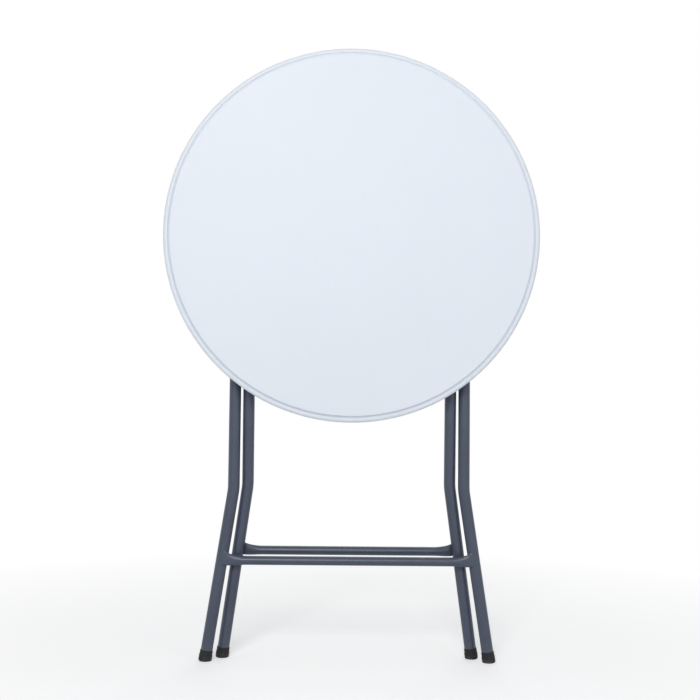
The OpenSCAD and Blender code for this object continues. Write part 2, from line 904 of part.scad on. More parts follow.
// Arm of the stay, with an eye for its pin and one for the bar
module stay_arm(side) {
    along_x(side * arm_x - arm_t / 2, arm_t) difference() {
        union() {
            translate([stay_y, stay_z]) circle(d = arm_w);
            translate([stay_y, stay_bar_z]) circle(d = arm_w);
            translate([stay_y - arm_w / 2, stay_z]) square([arm_w, arm_len]);
        }
        translate([stay_y, stay_z]) circle(d = pin_d + 2 * run_gap);
        translate([stay_y, stay_bar_z]) circle(d = stay_bar_d);
    }
}

module stay_left_arm() {
    color(zinc_colour) front_place() stay_arm(-1);
}

module stay_right_arm() {
    color(zinc_colour) front_place() stay_arm(1);
}

module stay_bar() {
    reach = outer_x - leg_r - side_gap;
    color(zinc_colour) front_place() translate([0, stay_y, stay_bar_z])
        bar_x(-reach, reach, stay_bar_d);
}

front_left_leg();
front_right_leg();
front_crossbar();
hinge_tube();
hinge_tube_plugs();
hinge_collars();
left_stop_plate();
right_stop_plate();
left_stay_catch();
right_stay_catch();
front_left_foot();
front_right_foot();
pivot_bolts();
pivot_nuts();
rear_left_leg();
rear_right_leg();
rear_crossbar();
rear_top_bar();
rear_leg_plugs();
rear_left_foot();
rear_right_foot();
stop_pins();
pivot_bushes();
top_panel();
left_rail();
right_rail();
rail_screws();
left_hinge_saddle();
right_hinge_saddle();
saddle_screws();
stay_left_bracket();
stay_right_bracket();
bracket_screws();
stay_pivot_pins();
stay_clips();
bumper_pads();
stay_left_arm();
stay_right_arm();
stay_bar();
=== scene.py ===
"""Folding cocktail table, stored flat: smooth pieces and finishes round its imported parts.

Lengths are in metres. X runs to the right, Y away from the viewer and Z up.
"""

import json
import math
from typing import NamedTuple

import bmesh
import bpy
from mathutils import Matrix, Vector


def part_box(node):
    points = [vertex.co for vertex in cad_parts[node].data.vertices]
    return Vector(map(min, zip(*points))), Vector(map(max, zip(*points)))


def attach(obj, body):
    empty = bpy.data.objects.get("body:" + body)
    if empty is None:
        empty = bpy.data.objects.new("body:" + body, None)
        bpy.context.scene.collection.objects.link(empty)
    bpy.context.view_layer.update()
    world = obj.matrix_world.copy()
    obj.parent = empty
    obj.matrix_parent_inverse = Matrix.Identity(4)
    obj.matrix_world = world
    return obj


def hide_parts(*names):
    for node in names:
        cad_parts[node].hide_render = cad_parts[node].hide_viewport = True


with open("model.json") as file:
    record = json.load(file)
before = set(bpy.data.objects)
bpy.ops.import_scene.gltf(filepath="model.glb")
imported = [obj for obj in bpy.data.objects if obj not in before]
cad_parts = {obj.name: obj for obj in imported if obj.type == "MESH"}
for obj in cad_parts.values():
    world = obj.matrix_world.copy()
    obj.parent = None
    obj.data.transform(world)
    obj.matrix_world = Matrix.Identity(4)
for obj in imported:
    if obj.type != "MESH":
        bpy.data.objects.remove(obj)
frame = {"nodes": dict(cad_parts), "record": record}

bl_info = {
    "name": "Folding cocktail table",
    "version": (1, 0, 0),
    "blender": (4, 5, 0),
    "location": "3D View > Sidebar > Table",
    "description": "Dresses the packed folding table with smooth pieces and finishes",
    "category": "Object",
}


def middle_of(node):
    """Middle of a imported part's box, on the table's centre plane."""
    low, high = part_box(node)
    centre = (low + high) / 2
    return Vector((0, centre.y, centre.z))


PIVOT = middle_of("pivot_bolts")
HINGE_HEIGHT = (middle_of("hinge_tube") - PIVOT).length


# Sizes and colours


def length(name, description, default):
    return bpy.props.FloatProperty(
        name=name, description=description, default=default, min=0, unit="LENGTH", precision=4
    )


def angle(name, description, degrees):
    return bpy.props.FloatProperty(
        name=name, description=description, default=math.radians(degrees), subtype="ANGLE"
    )


def colour(name, description, default):
    return bpy.props.FloatVectorProperty(
        name=name, description=description, default=default, size=3, min=0, max=1, subtype="COLOR"
    )


class TopSizes(bpy.types.PropertyGroup):
    radius: length("Radius", "Radius of the round top", 0.4)
    depth: length("Depth", "Depth of the moulded rim", 0.04)
    rim: length("Rim width", "Width of the rim, from the outer edge to the recess", 0.04)
    recess: length("Recess", "Depth of the recess in the underside", 0.008)
    edge_round: length("Edge rounding", "Rounding of the outer edges", 0.008)
    groove_in: length("Groove inset", "Distance from the edge to the face groove", 0.0115)
    groove_width: length("Groove width", "Width of the face groove", 0.0052)
    groove_depth: length("Groove depth", "Depth of the face groove", 0.0018)
    rail_across: length("Rail place", "Distance from the middle of the top to a rail", 0.15)
    dimple_across: length("First column", "Distance from the middle to the column beside it", 0.05)
    dimple_pitch: length("Dimple pitch", "Distance between the rows of dimples", 0.1)
    dimple_mouth: length("Dimple mouth", "Diameter of a dimple at its mouth", 0.028)
    dimple_floor: length("Dimple floor", "Diameter of a dimple at its bottom", 0.016)
    dimple_depth: length("Dimple depth", "Depth of a dimple below the recess", 0.026)
    dimple_lip: length("Dimple lip", "Rounding of a dimple's mouth", 0.0018)
    dimple_margin: length("Dimple margin", "Least distance from a dimple to the rim", 0.006)
    pad_round: length("Pad rounding", "Rounding of the rim of a bumper pad", 0.0022)
    hinge_back: length("Hinge to rim", "Distance from the hinge to the back of the rim", 0.018)
    hinge_up: length("Hinge height", "Distance from the middle of the top to the hinge", 0.214)


class FrameSizes(bpy.types.PropertyGroup):
    tube: length("Leg tube", "Diameter of the leg tubes", 0.025)
    outer_half: length("Outer half width", "From the centre plane to an outer leg", 0.246)
    inner_half: length("Inner half width", "From the centre plane to an inner leg", 0.217)
    pivot_height: length("Pivot height", "Height of the pivot along a leg", 0.65)
    outer_bend: length("Outer bend", "Height of the bend in the outer legs", 0.362)
    inner_bend: length("Inner bend", "Height of the bend in the inner legs", 0.369)
    bend_radius: length("Bend radius", "Radius of the bend in the legs", 0.13)
    stub: length("Stub", "Length of the inner legs above the pivot", 0.01)
    lean: angle("Lean", "Lean of each frame from upright when stored", 1.5)
    outer_flare: angle("Outer flare", "Outward lean of the outer legs below the bend", 8.65)
    inner_flare: angle("Inner flare", "Outward lean of the inner legs below the bend", 7.9)


class BarSizes(bpy.types.PropertyGroup):
    diameter: length("Crossbar", "Diameter of the crossbars", 0.019)
    front_height: length("Front height", "Height of the front crossbar along the legs", 0.211)
    rear_height: length("Rear height", "Height of the rear crossbar along the legs", 0.228)
    flat_height: length("Flat height", "Height of a pressed flat end", 0.0295)
    flat_thickness: length("Flat thickness", "Thickness of a pressed flat end", 0.005)
    flat_length: length("Flat length", "Length of a pressed flat end", 0.005)
    flat_corner: length("Flat corner", "Rounding of the tip of a flat end", 0.003)
    flat_seat: length("Flat seat", "How deep a flat end is pressed into the curve of its leg", 0.0006)
    press_length: length("Pressed length", "Length over which a bar turns flat", 0.047)
    flat_rise: length("Flat rise", "Rise of the flat ends above the bar's middle", 0.0055)
    weld: length("Weld bead", "Radius of a weld bead", 0.0016)


class FootSizes(bpy.types.PropertyGroup):
    diameter: length("Foot", "Diameter of a rubber foot", 0.0285)
    height: length("Height", "Height of a rubber foot", 0.024)
    floor: length("Floor", "Rubber under the end of the tube", 0.005)
    rounding: length("Rounding", "Rounding of the lower edge", 0.0035)
    trim: length("Trim", "Rubber cut away to make the sole flat", 0.0015)
    lip: length("Lip", "How far the upper lip stands in from the body", 0.0007)
    lip_round: length("Lip rounding", "Rounding of the upper edge", 0.0008)
    step: length("Step", "Height of the slope between the body and the lip", 0.001)
    draft: length("Draft", "How far the sole stands in from the body", 0.0002)


class FastenerSizes(bpy.types.PropertyGroup):
    bolt: length("Bolt", "Diameter of a pivot bolt", 0.008)
    bolt_head: length("Bolt head", "Diameter of a pivot bolt's head", 0.017)
    bolt_head_height: length("Bolt head height", "Height of a pivot bolt's head", 0.004)
    bolt_chamfer: length("Bolt chamfer", "Chamfer of a pivot bolt's edges", 0.0007)
    bolt_seat: length("Bolt seat", "How deep the head sits in the curve of the leg", 0.0004)
    bolt_end: length("Bolt end", "Thread that shows past the nut", 0.001)
    screw_head: length("Screw head", "Diameter of a screw's head", 0.008)


class TableColours(bpy.types.PropertyGroup):
    top: colour("Top", "Colour of the moulded top", (0.80, 0.85, 0.92))
    # Painted shade: this darker colour stands in for the shade that falls in the face groove.
    groove: colour("Groove", "Colour of the shaded groove in the top", (0.40, 0.43, 0.54))
    paint: colour("Frame paint", "Colour of the powder coat", (0.060, 0.073, 0.110))
    steel: colour("Plated steel", "Colour of the zinc plate", (0.56, 0.57, 0.58))
    rubber: colour("Rubber", "Colour of the feet and plugs", (0.010, 0.010, 0.012))
    dust: colour("Dust", "Colour of the dust on the frame", (0.25, 0.24, 0.23))
    foot_dust: colour("Foot dust", "Colour of the dust on the feet", (0.16, 0.15, 0.14))
    floor: colour("Floor", "Colour of the studio floor", (0.86, 0.86, 0.86))


GROUPS = {
    "table_top": TopSizes,
    "table_frame": FrameSizes,
    "table_bars": BarSizes,
    "table_feet": FootSizes,
    "table_fasteners": FastenerSizes,
    "table_colours": TableColours,
}


def sizes(group):
    return getattr(bpy.context.scene, group)


# Places

ON_LEFT = Matrix.Diagonal((-1, 1, 1, 1))
SIDES = (("left", ON_LEFT), ("right", Matrix.Identity(4)))
ALONG_X = Matrix.Rotation(math.radians(90), 4, "Y")
BACKWARDS = Vector((0, 1, 0))


def front_place():
    """From the outer frame's own upright axes to its stored place."""
    return Matrix.Translation(PIVOT) @ Matrix.Rotation(-sizes("table_frame").lean, 4, "X")


def rear_place():
    return Matrix.Translation(PIVOT) @ Matrix.Rotation(sizes("table_frame").lean, 4, "X")


def top_place():
    """From the top lying face down, its face on Z = 0, to its stored place."""
    top = sizes("table_top")
    face = Vector((0, -top.hinge_back - top.depth, HINGE_HEIGHT - top.hinge_up))
    return front_place() @ Matrix.Translation(face) @ Matrix.Rotation(math.radians(-90), 4, "X")


# Mesh tools

SAME_POINT = 1e-6
ON_AXIS = 1e-7
STRAIGHT = 1e-4
ROUND_STEP = math.radians(12)
SHARP_FROM = math.radians(34)


def rounded(corners, step=ROUND_STEP):
    """Line through (x, y, radius) corners, each rounded by its radius."""
    line = [Vector(corners[0][:2])]
    for before, corner, after in zip(corners, corners[1:], corners[2:]):
        point, radius = Vector(corner[:2]), corner[2]
        to_before = (Vector(before[:2]) - point).normalized()
        to_after = (Vector(after[:2]) - point).normalized()
        opening = to_before.angle(to_after)
        if radius <= 0 or math.pi - opening < STRAIGHT:
            line.append(point)
            continue
        start = point + to_before * radius / math.tan(opening / 2)
        centre = point + (to_before + to_after).normalized() * radius / math.sin(opening / 2)
        end = point + to_after * radius / math.tan(opening / 2)
        turn = (start - centre).angle_signed(end - centre)
        count = max(2, math.ceil(abs(turn) / step))
        for i in range(count + 1):
            line.append(centre + Matrix.Rotation(-turn * i / count, 2) @ (start - centre))
    line.append(Vector(corners[-1][:2]))
    return line


def bridge(bm, low, high):
    """Joins two rings of points with faces; a ring of one point is a pole."""
    count = max(len(low), len(high))
    for i in range(count):
        k = (i + 1) % count
        corners = (low[i % len(low)], low[k % len(low)], high[k % len(high)], high[i % len(high)])
        corners = list(dict.fromkeys(corners))
        if len(corners) > 2:
            bm.faces.new(corners)


def lathe(bm, line, sides):
    """Turns a line of (radius, height) points about Z."""
    turns = [math.tau * i / sides for i in range(sides)]
    rings = []
    for radius, height in line:
        ring = [(radius * math.cos(turn), radius * math.sin(turn), height) for turn in turns]
        rings.append([bm.verts.new(point) for point in (ring if radius > ON_AXIS else ring[:1])])
    for low, high in zip(rings, rings[1:]):
        bridge(bm, low, high)


def skin(bm, rings):
    """Closed skin over rings of points, with a cap on each end."""
    made = [[bm.verts.new(point) for point in ring] for ring in rings]
    for low, high in zip(made, made[1:]):
        bridge(bm, low, high)
    bm.faces.new(made[0][::-1])
    bm.faces.new(made[-1])


def prism(bm, outline, low, high, taper):
    """Solid over an outline of (x, y) points, its far end scaled by taper."""
    near = [Vector((x, y, low)) for x, y in outline]
    far = [Vector((x * taper, y * taper, high)) for x, y in outline]
    skin(bm, [near, far])


def both_sides(right):
    """Adds the mirror image on the left to a mesh of the right side."""
    mesh = bpy.data.meshes.new("right_side")
    right.to_mesh(mesh)
    right.transform(ON_LEFT)
    right.from_mesh(mesh)
    bpy.data.meshes.remove(mesh)


def loose_object(name, bm):
    """Puts the mesh in an object of its own, with smooth faces and sharp corners."""
    bmesh.ops.remove_doubles(bm, verts=bm.verts, dist=SAME_POINT)
    bmesh.ops.recalc_face_normals(bm, faces=bm.faces)
    mesh = bpy.data.meshes.new(name)
    bm.to_mesh(mesh)
    bm.free()
    mesh.shade_smooth()
    mesh.set_sharp_from_angle(angle=SHARP_FROM)
    made = bpy.data.objects.new(name, mesh)
    bpy.context.scene.collection.objects.link(made)
    return made


def discard(thing):
    mesh = thing.data
    bpy.data.objects.remove(thing)
    if mesh is not None and mesh.users == 0:
        bpy.data.meshes.remove(mesh)


def evaluated_mesh(thing, name):
    """Plain mesh of an object with its modifiers applied."""
    graph = bpy.context.evaluated_depsgraph_get()
    mesh = bpy.data.meshes.new_from_object(
        thing.evaluated_get(graph), preserve_all_data_layers=True, depsgraph=graph
    )
    mesh.name = name
    return mesh


def carved(body, cutter):
    """Cuts one loose object out of another and gives back what is left as a bmesh."""
    cut = body.modifiers.new("Cut", "BOOLEAN")
    cut.operation = "DIFFERENCE"
    cut.solver = "EXACT"
    cut.object = cutter
    mesh = evaluated_mesh(body, body.name)
    bm = bmesh.new()
    bm.from_mesh(mesh)
    bpy.data.meshes.remove(mesh)
    discard(body)
    discard(cutter)
    return bm


def solid_boxes(node_name, axes):
    """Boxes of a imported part's separate solids, measured in other axes."""
    bm = bmesh.new()
    bm.from_mesh(frame["nodes"][node_name].data)
    bmesh.ops.remove_doubles(bm, verts=bm.verts, dist=SAME_POINT)
    seen, boxes = set(), []
    for start in bm.verts:
        if start in seen:
            continue
        seen.add(start)
        stack, points = [start], []
        while stack:
            vert = stack.pop()
            points.append(axes @ vert.co)
            others = [edge.other_vert(vert) for edge in vert.link_edges]
            fresh = [other for other in others if other not in seen]
            seen.update(fresh)
            stack.extend(fresh)
        boxes.append((Vector(map(min, zip(*points))), Vector(map(max, zip(*points)))))
    bm.free()
    return boxes


def piece(name, bm, slot, body, stands_for, place=None):
    """Makes a finished piece: its place in its mesh, its finish and the body it rides on."""
    if place is not None:
        bm.transform(place)
    made = loose_object(name, bm)
    made.data.materials.append(finish(slot))
    settle(made, body, stands_for)


def settle(made, body, stands_for):
    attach(made, body)
    if stands_for:
        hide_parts(*stands_for)


# Finishes

FIRST_COLOUR, SECOND_COLOUR, MIXED_COLOUR = 6, 7, 2


def node(tree, kind, links=None, **settings):
    """Adds a node; links holds its sockets' values or the sockets that feed them."""
    made = tree.nodes.new(kind)
    for key, value in settings.items():
        setattr(made, key, value)
    for key, value in (links or {}).items():
        if isinstance(value, bpy.types.NodeSocket):
            tree.links.new(value, made.inputs[key])
        else:
            made.inputs[key].default_value = value
    return made


def maths(tree, operation, first, second=0.0):
    return node(tree, "ShaderNodeMath", {0: first, 1: second}, operation=operation).outputs[0]


def between(tree, value, low, high, to_low=0.0, to_high=1.0):
    """Maps a value from one range to another, held at the ends."""
    return node(
        tree,
        "ShaderNodeMapRange",
        {"Value": value, "From Min": low, "From Max": high, "To Min": to_low, "To Max": to_high},
    ).outputs["Result"]


def mixed(tree, share, first, second):
    """Blend of two colours, each a socket or a plain colour."""
    ends = [
        value if isinstance(value, bpy.types.NodeSocket) else (*value, 1)
        for value in (first, second)
    ]
    return node(
        tree,
        "ShaderNodeMix",
        {"Factor": share, FIRST_COLOUR: ends[0], SECOND_COLOUR: ends[1]},
        data_type="RGBA",
    ).outputs[MIXED_COLOUR]


def noise(tree, place, scale, detail, roughness=0.5):
    return node(
        tree,
        "ShaderNodeTexNoise",
        {"Vector": place, "Scale": scale, "Detail": detail, "Roughness": roughness},
    ).outputs["Fac"]


def shader_group(name, inputs, outputs):
    """New shader node group with named float inputs and outputs."""
    tree = bpy.data.node_groups.new(name, "ShaderNodeTree")
    for key, default in inputs.items():
        socket = tree.interface.new_socket(name=key, in_out="INPUT", socket_type="NodeSocketFloat")
        socket.default_value = default
    for key in outputs:
        tree.interface.new_socket(name=key, in_out="OUTPUT", socket_type="NodeSocketFloat")
    return tree, tree.nodes.new("NodeGroupInput"), tree.nodes.new("NodeGroupOutput")


def make_surface(name):
    """Fine grain, slow patches and small specks, all on Object coordinates."""
    scales = {"Grain scale": 900.0, "Patch scale": 9.0, "Speck scale": 260.0}
    tree, given, result = shader_group(name, scales, ("Grain", "Patches", "Specks"))
    place = node(tree, "ShaderNodeTexCoord").outputs["Object"]
    grain = noise(tree, place, given.outputs["Grain scale"], detail=4.0, roughness=0.6)
    patches = noise(tree, place, given.outputs["Patch scale"], detail=3.0, roughness=0.55)
    specks = node(
        tree,
        "ShaderNodeTexVoronoi",
        {"Vector": place, "Scale": given.outputs["Speck scale"], "Randomness": 1.0},
    ).outputs["Distance"]
    tree.links.new(grain, result.inputs["Grain"])
    tree.links.new(between(tree, patches, 0.3, 0.7), result.inputs["Patches"])
    tree.links.new(between(tree, specks, 0.0, 0.22, 1.0, 0.0), result.inputs["Specks"])


def make_scuffs(name):
    """Dust near the floor and thin rubbed marks, as masks."""
    scales = {"Dust height": 0.03, "Mark scale": 22.0}
    tree, given, result = shader_group(name, scales, ("Dust", "Marks"))
    place = node(tree, "ShaderNodeTexCoord").outputs["Object"]
    up = node(tree, "ShaderNodeSeparateXYZ", {0: place}).outputs["Z"]
    low = between(tree, maths(tree, "DIVIDE", up, given.outputs["Dust height"]), 0.0, 1.0, 1.0, 0.0)
    cloud = between(tree, noise(tree, place, scale=160.0, detail=5.0, roughness=0.65), 0.42, 0.7)
    upright = node(
        tree, "ShaderNodeMapping", {"Vector": place, "Scale": (1.0, 1.0, 0.08)}
    ).outputs["Vector"]
    fine = maths(tree, "MULTIPLY", given.outputs["Mark scale"], 12.0)
    lines = between(tree, noise(tree, upright, fine, detail=4.0, roughness=0.7), 0.6, 0.72)
    patches = between(tree, noise(tree, place, given.outputs["Mark scale"], detail=2.0), 0.5, 0.75)
    tree.links.new(maths(tree, "MULTIPLY", low, cloud), result.inputs["Dust"])
    tree.links.new(maths(tree, "MULTIPLY", lines, patches), result.inputs["Marks"])


def group_of(name, make):
    """Node group of that name, made when it is first asked for."""
    if name not in bpy.data.node_groups:
        make(name)
    return bpy.data.node_groups[name]


def surface_of(tree, grain, patch, speck):
    """Outputs of the surface group, placed in a material with its own scales."""
    scales = {"Grain scale": grain, "Patch scale": patch, "Speck scale": speck}
    group = group_of("Table surface", make_surface)
    return node(tree, "ShaderNodeGroup", node_tree=group, links=scales).outputs


def scuffs_of(tree, mark, dust_height=0.03):
    """Outputs of the scuffs group, placed in a material with its own scales."""
    scales = {"Mark scale": mark, "Dust height": dust_height}
    group = group_of("Table scuffs", make_scuffs)
    return node(tree, "ShaderNodeGroup", node_tree=group, links=scales).outputs


def weaker(tree, mask, share):
    return maths(tree, "MULTIPLY", mask, share)


def rougher(tree, rough, mask, more):
    return maths(tree, "ADD", rough, weaker(tree, mask, more))


def dressed(tree, shader, tone, rough, height, depth, strength):
    """Feeds a colour, a roughness and a bump of a given depth to the shader."""
    bump = node(tree, "ShaderNodeBump", {"Height": height, "Distance": depth, "Strength": strength})
    tree.links.new(tone, shader.inputs["Base Color"])
    tree.links.new(rough, shader.inputs["Roughness"])
    tree.links.new(bump.outputs["Normal"], shader.inputs["Normal"])


def shaded(tone, factor):
    return tuple(min(1.0, part * factor) for part in tone)


def moulded_plastic(tree, shader):
    """Cool white moulded plastic with a very fine grain, and painted shade in the groove."""
    colours = sizes("table_colours")
    surface = surface_of(tree, grain=520.0, patch=2.4, speck=340.0)
    scuffs = scuffs_of(tree, mark=9.0)
    tone = mixed(tree, surface["Patches"], shaded(colours.top, 0.985), shaded(colours.top, 1.01))
    tone = mixed(tree, weaker(tree, scuffs["Marks"], 0.22), tone, shaded(colours.top, 0.86))
    # Painted shade: the groove is mixed towards the darker groove colour, most at the foot of the face.
    groove = node(tree, "ShaderNodeAttribute", attribute_name="groove").outputs["Fac"]
    tone = mixed(tree, weaker(tree, groove, 0.75), tone, colours.groove)
    rough = between(tree, surface["Patches"], 0.0, 1.0, 0.46, 0.54)
    rough = rougher(tree, rough, scuffs["Marks"], 0.12)
    dressed(tree, shader, tone, rough, surface["Grain"], depth=0.00012, strength=0.5)
    shader.inputs["IOR"].default_value = 1.5
    shader.inputs["Specular IOR Level"].default_value = 0.36
    shader.inputs["Subsurface Weight"].default_value = 0.04
    shader.inputs["Subsurface Radius"].default_value = (0.004, 0.004, 0.004)


def powder_coat(tree, shader):
    """Blue-grey powder coat: fine orange peel, a soft sheen and a little wear."""
    colours = sizes("table_colours")
    surface = surface_of(tree, grain=1100.0, patch=14.0, speck=700.0)
    scuffs = scuffs_of(tree, mark=26.0, dust_height=0.05)
    tone = mixed(tree, surface["Patches"], shaded(colours.paint, 0.9), shaded(colours.paint, 1.1))
    tone = mixed(tree, weaker(tree, surface["Specks"], 0.25), tone, shaded(colours.paint, 1.7))
    tone = mixed(tree, weaker(tree, scuffs["Marks"], 0.3), tone, shaded(colours.paint, 2.2))
    tone = mixed(tree, weaker(tree, scuffs["Dust"], 0.25), tone, colours.dust)
    rough = between(tree, surface["Grain"], 0.3, 0.7, 0.27, 0.39)
    rough = rougher(tree, rough, scuffs["Marks"], 0.2)
    dressed(tree, shader, tone, rough, surface["Grain"], depth=0.0001, strength=0.55)
    shader.inputs["Specular IOR Level"].default_value = 0.42


def zinc_plate(tree, shader):
    """Bright zinc plate with faint drawing lines."""
    base = sizes("table_colours").steel
    surface = surface_of(tree, grain=1500.0, patch=60.0, speck=420.0)
    scuffs = scuffs_of(tree, mark=40.0)
    tone = mixed(tree, surface["Patches"], shaded(base, 0.88), shaded(base, 1.08))
    tone = mixed(tree, weaker(tree, surface["Specks"], 0.2), tone, shaded(base, 0.7))
    rough = between(tree, surface["Patches"], 0.0, 1.0, 0.28, 0.42)
    rough = rougher(tree, rough, scuffs["Marks"], 0.25)
    dressed(tree, shader, tone, rough, scuffs["Marks"], depth=0.00006, strength=0.6)
    shader.inputs["Metallic"].default_value = 1.0


def black_finish(tree, shader, grain, smoothest, roughest, dust):
    """Black rubber or plastic: matt, finely grained, dusty where it meets the floor."""
    colours = sizes("table_colours")
    surface = surface_of(tree, grain=grain, patch=70.0, speck=500.0)
    scuffs = scuffs_of(tree, mark=60.0, dust_height=0.012)
    tone = mixed(tree, surface["Patches"], colours.rubber, shaded(colours.rubber, 1.7))
    tone = mixed(tree, weaker(tree, scuffs["Marks"], 0.4), tone, shaded(colours.rubber, 4.0))
    tone = mixed(tree, weaker(tree, scuffs["Dust"], dust), tone, colours.foot_dust)
    rough = between(tree, surface["Grain"], 0.3, 0.7, smoothest, roughest)
    dressed(tree, shader, tone, rough, surface["Grain"], depth=0.00015, strength=0.7)
    shader.inputs["Specular IOR Level"].default_value = 0.35


def black_rubber(tree, shader):
    black_finish(tree, shader, grain=900.0, smoothest=0.62, roughest=0.8, dust=0.5)


def black_plastic(tree, shader):
    black_finish(tree, shader, grain=1400.0, smoothest=0.4, roughest=0.55, dust=0.1)


FINISHES = {
    "white_plastic": ("Moulded white plastic", moulded_plastic),
    "frame_paint": ("Powder coated steel", powder_coat),
    "zinc_steel": ("Zinc plated steel", zinc_plate),
    "black_rubber": ("Black rubber", black_rubber),
    "black_plastic": ("Black plastic", black_plastic),
}


def finish(slot):
    """Material of a slot, made when it is first asked for."""
    name, make = FINISHES[slot]
    if name not in bpy.data.materials:
        made = bpy.data.materials.new(name)
        made.use_nodes = True
        make(made.node_tree, made.node_tree.nodes["Principled BSDF"])
    return bpy.data.materials[name]


# Geometry Nodes

RANDOM_MAX, RANDOM_VALUE = 3, 1
BEAD_SIDES = 10


def geometry_tree(name, inputs):
    """New geometry node tree; inputs are (name, socket type, default) rows."""
    tree = bpy.data.node_groups.new(name, "GeometryNodeTree")
    tree.is_modifier = True
    tree.interface.new_socket(name="Geometry", in_out="INPUT", socket_type="NodeSocketGeometry")
    for key, kind, default in inputs:
        socket = tree.interface.new_socket(name=key, in_out="INPUT", socket_type=kind)
        if default is not None:
            socket.default_value = default
    tree.interface.new_socket(name="Geometry", in_out="OUTPUT", socket_type="NodeSocketGeometry")
    return tree, tree.nodes.new("NodeGroupInput"), tree.nodes.new("NodeGroupOutput")


def end_tree(tree, given, result, geometry):
    """Realizes the instances and sets the finish, as the last steps of a tree."""
    real = node(tree, "GeometryNodeRealizeInstances", {"Geometry": geometry})
    painted = node(
        tree,
        "GeometryNodeSetMaterial",
        {"Geometry": real.outputs["Geometry"], "Material": given.outputs["Finish"]},
    )
    tree.links.new(painted.outputs["Geometry"], result.inputs[0])


def make_copies(name):
    """Copies of a shape on points, all facing one way, each turned about its own axis."""
    tree, given, result = geometry_tree(
        name,
        (
            ("Shape", "NodeSocketObject", None),
            ("Size", "NodeSocketFloat", 1.0),
            ("Most turn", "NodeSocketFloat", math.tau),
            ("Seed", "NodeSocketInt", 7),
            ("Finish", "NodeSocketMaterial", None),
        ),
    )
    shape = node(tree, "GeometryNodeObjectInfo", {"Object": given.outputs["Shape"]})
    turn = node(
        tree,
        "FunctionNodeRandomValue",
        {RANDOM_MAX: given.outputs["Most turn"], "Seed": given.outputs["Seed"]},
        data_type="FLOAT",
    )
    about = node(tree, "ShaderNodeCombineXYZ", {"Z": turn.outputs[RANDOM_VALUE]})
    spin = node(tree, "FunctionNodeEulerToRotation", {0: about.outputs[0]})
    placed = node(
        tree,
        "GeometryNodeInstanceOnPoints",
        {
            "Points": given.outputs["Geometry"],
            "Instance": shape.outputs["Geometry"],
            "Rotation": spin.outputs[0],
            "Scale": given.outputs["Size"],
        },
    )
    end_tree(tree, given, result, placed.outputs["Instances"])


def make_bead(name):
    """Rippled weld bead along every line of edges."""
    tree, given, result = geometry_tree(
        name,
        (
            ("Radius", "NodeSocketFloat", 0.0016),
            ("Ripple", "NodeSocketFloat", 0.14),
            ("Ripple length", "NodeSocketFloat", 0.0022),
            ("Seed", "NodeSocketFloat", 3.0),
            ("Finish", "NodeSocketMaterial", None),
        ),
    )
    curve = node(tree, "GeometryNodeMeshToCurve", {"Mesh": given.outputs["Geometry"]})
    fine = node(tree, "GeometryNodeResampleCurve", {"Curve": curve.outputs["Curve"]})
    fine.mode = "LENGTH"
    step = maths(tree, "MULTIPLY", given.outputs["Ripple length"], 0.25)
    tree.links.new(step, fine.inputs["Length"])
    along = node(tree, "GeometryNodeSplineParameter").outputs["Length"]
    turns = maths(tree, "DIVIDE", along, given.outputs["Ripple length"])
    wave = maths(tree, "SINE", maths(tree, "MULTIPLY", turns, math.tau))
    rough = node(
        tree,
        "ShaderNodeTexNoise",
        {"W": given.outputs["Seed"], "Scale": 420.0, "Detail": 2.0},
        noise_dimensions="4D",
    ).outputs["Fac"]
    wave = maths(tree, "ADD", wave, maths(tree, "MULTIPLY", rough, 2.0))
    ripple = maths(tree, "MULTIPLY", wave, given.outputs["Ripple"])
    share = maths(tree, "ADD", maths(tree, "SUBTRACT", ripple, given.outputs["Ripple"]), 1.0)
    radius = maths(tree, "MULTIPLY", share, given.outputs["Radius"])
    ring = node(
        tree, "GeometryNodeCurvePrimitiveCircle", {"Resolution": BEAD_SIDES, "Radius": 1.0}
    )
    sweep = node(
        tree,
        "GeometryNodeCurveToMesh",
        {
            "Curve": fine.outputs["Curve"],
            "Profile Curve": ring.outputs["Curve"],
            "Scale": radius,
            "Fill Caps": True,
        },
    )
    smooth = node(tree, "GeometryNodeSetShadeSmooth", {"Geometry": sweep.outputs["Mesh"]})
    end_tree(tree, given, result, smooth.outputs["Geometry"])


def grown(name, bm, tree, values):
    """Runs a geometry tree on a mesh and gives back a plain object of the result."""
    mesh = bpy.data.meshes.new(name + "_path")
    bm.to_mesh(mesh)
    bm.free()
    holder = bpy.data.objects.new(name + "_path", mesh)
    modifier = holder.modifiers.new("Grow", "NODES")
    modifier.node_group = tree
    for item in tree.interface.items_tree:
        if item.item_type == "SOCKET" and item.in_out == "INPUT" and item.name in values:
            modifier[item.identifier] = values[item.name]
    bpy.context.scene.collection.objects.link(holder)
    result = evaluated_mesh(holder, name)
    holder.modifiers.clear()
    discard(holder)
    if not result.polygons:
        raise RuntimeError(f"{name} came out empty")
    made = bpy.data.objects.new(name, result)
    bpy.context.scene.collection.objects.link(made)
    return made


def copies(name, shape, places, values):
    """Copies of a loose object at places, as one plain object."""
    bm = bmesh.new()
    for place in places:
        bm.verts.new(place)
    return grown(name, bm, group_of("Copies on points", make_copies), {"Shape": shape, **values})


# Moulded top

TOP_SIDES = 288
DIMPLE_SIDES = 32
GROOVE_SOFT = 0.7
GROOVE_FLOOR = 0.4
RECESS_SOFT = 0.45
SEAM_SHARE = 0.012
FACE_EDGE, BACK_EDGE = 0.92, 0.75
DIMPLE_SOFT = 0.45
CUT_PAST = 0.002
BESIDE_RAIL = 0.55
GROOVE_FADE = 1.15
# Share of the painted groove shade at the top edge of the face.
TOP_SHADE_SHARE = 0.3


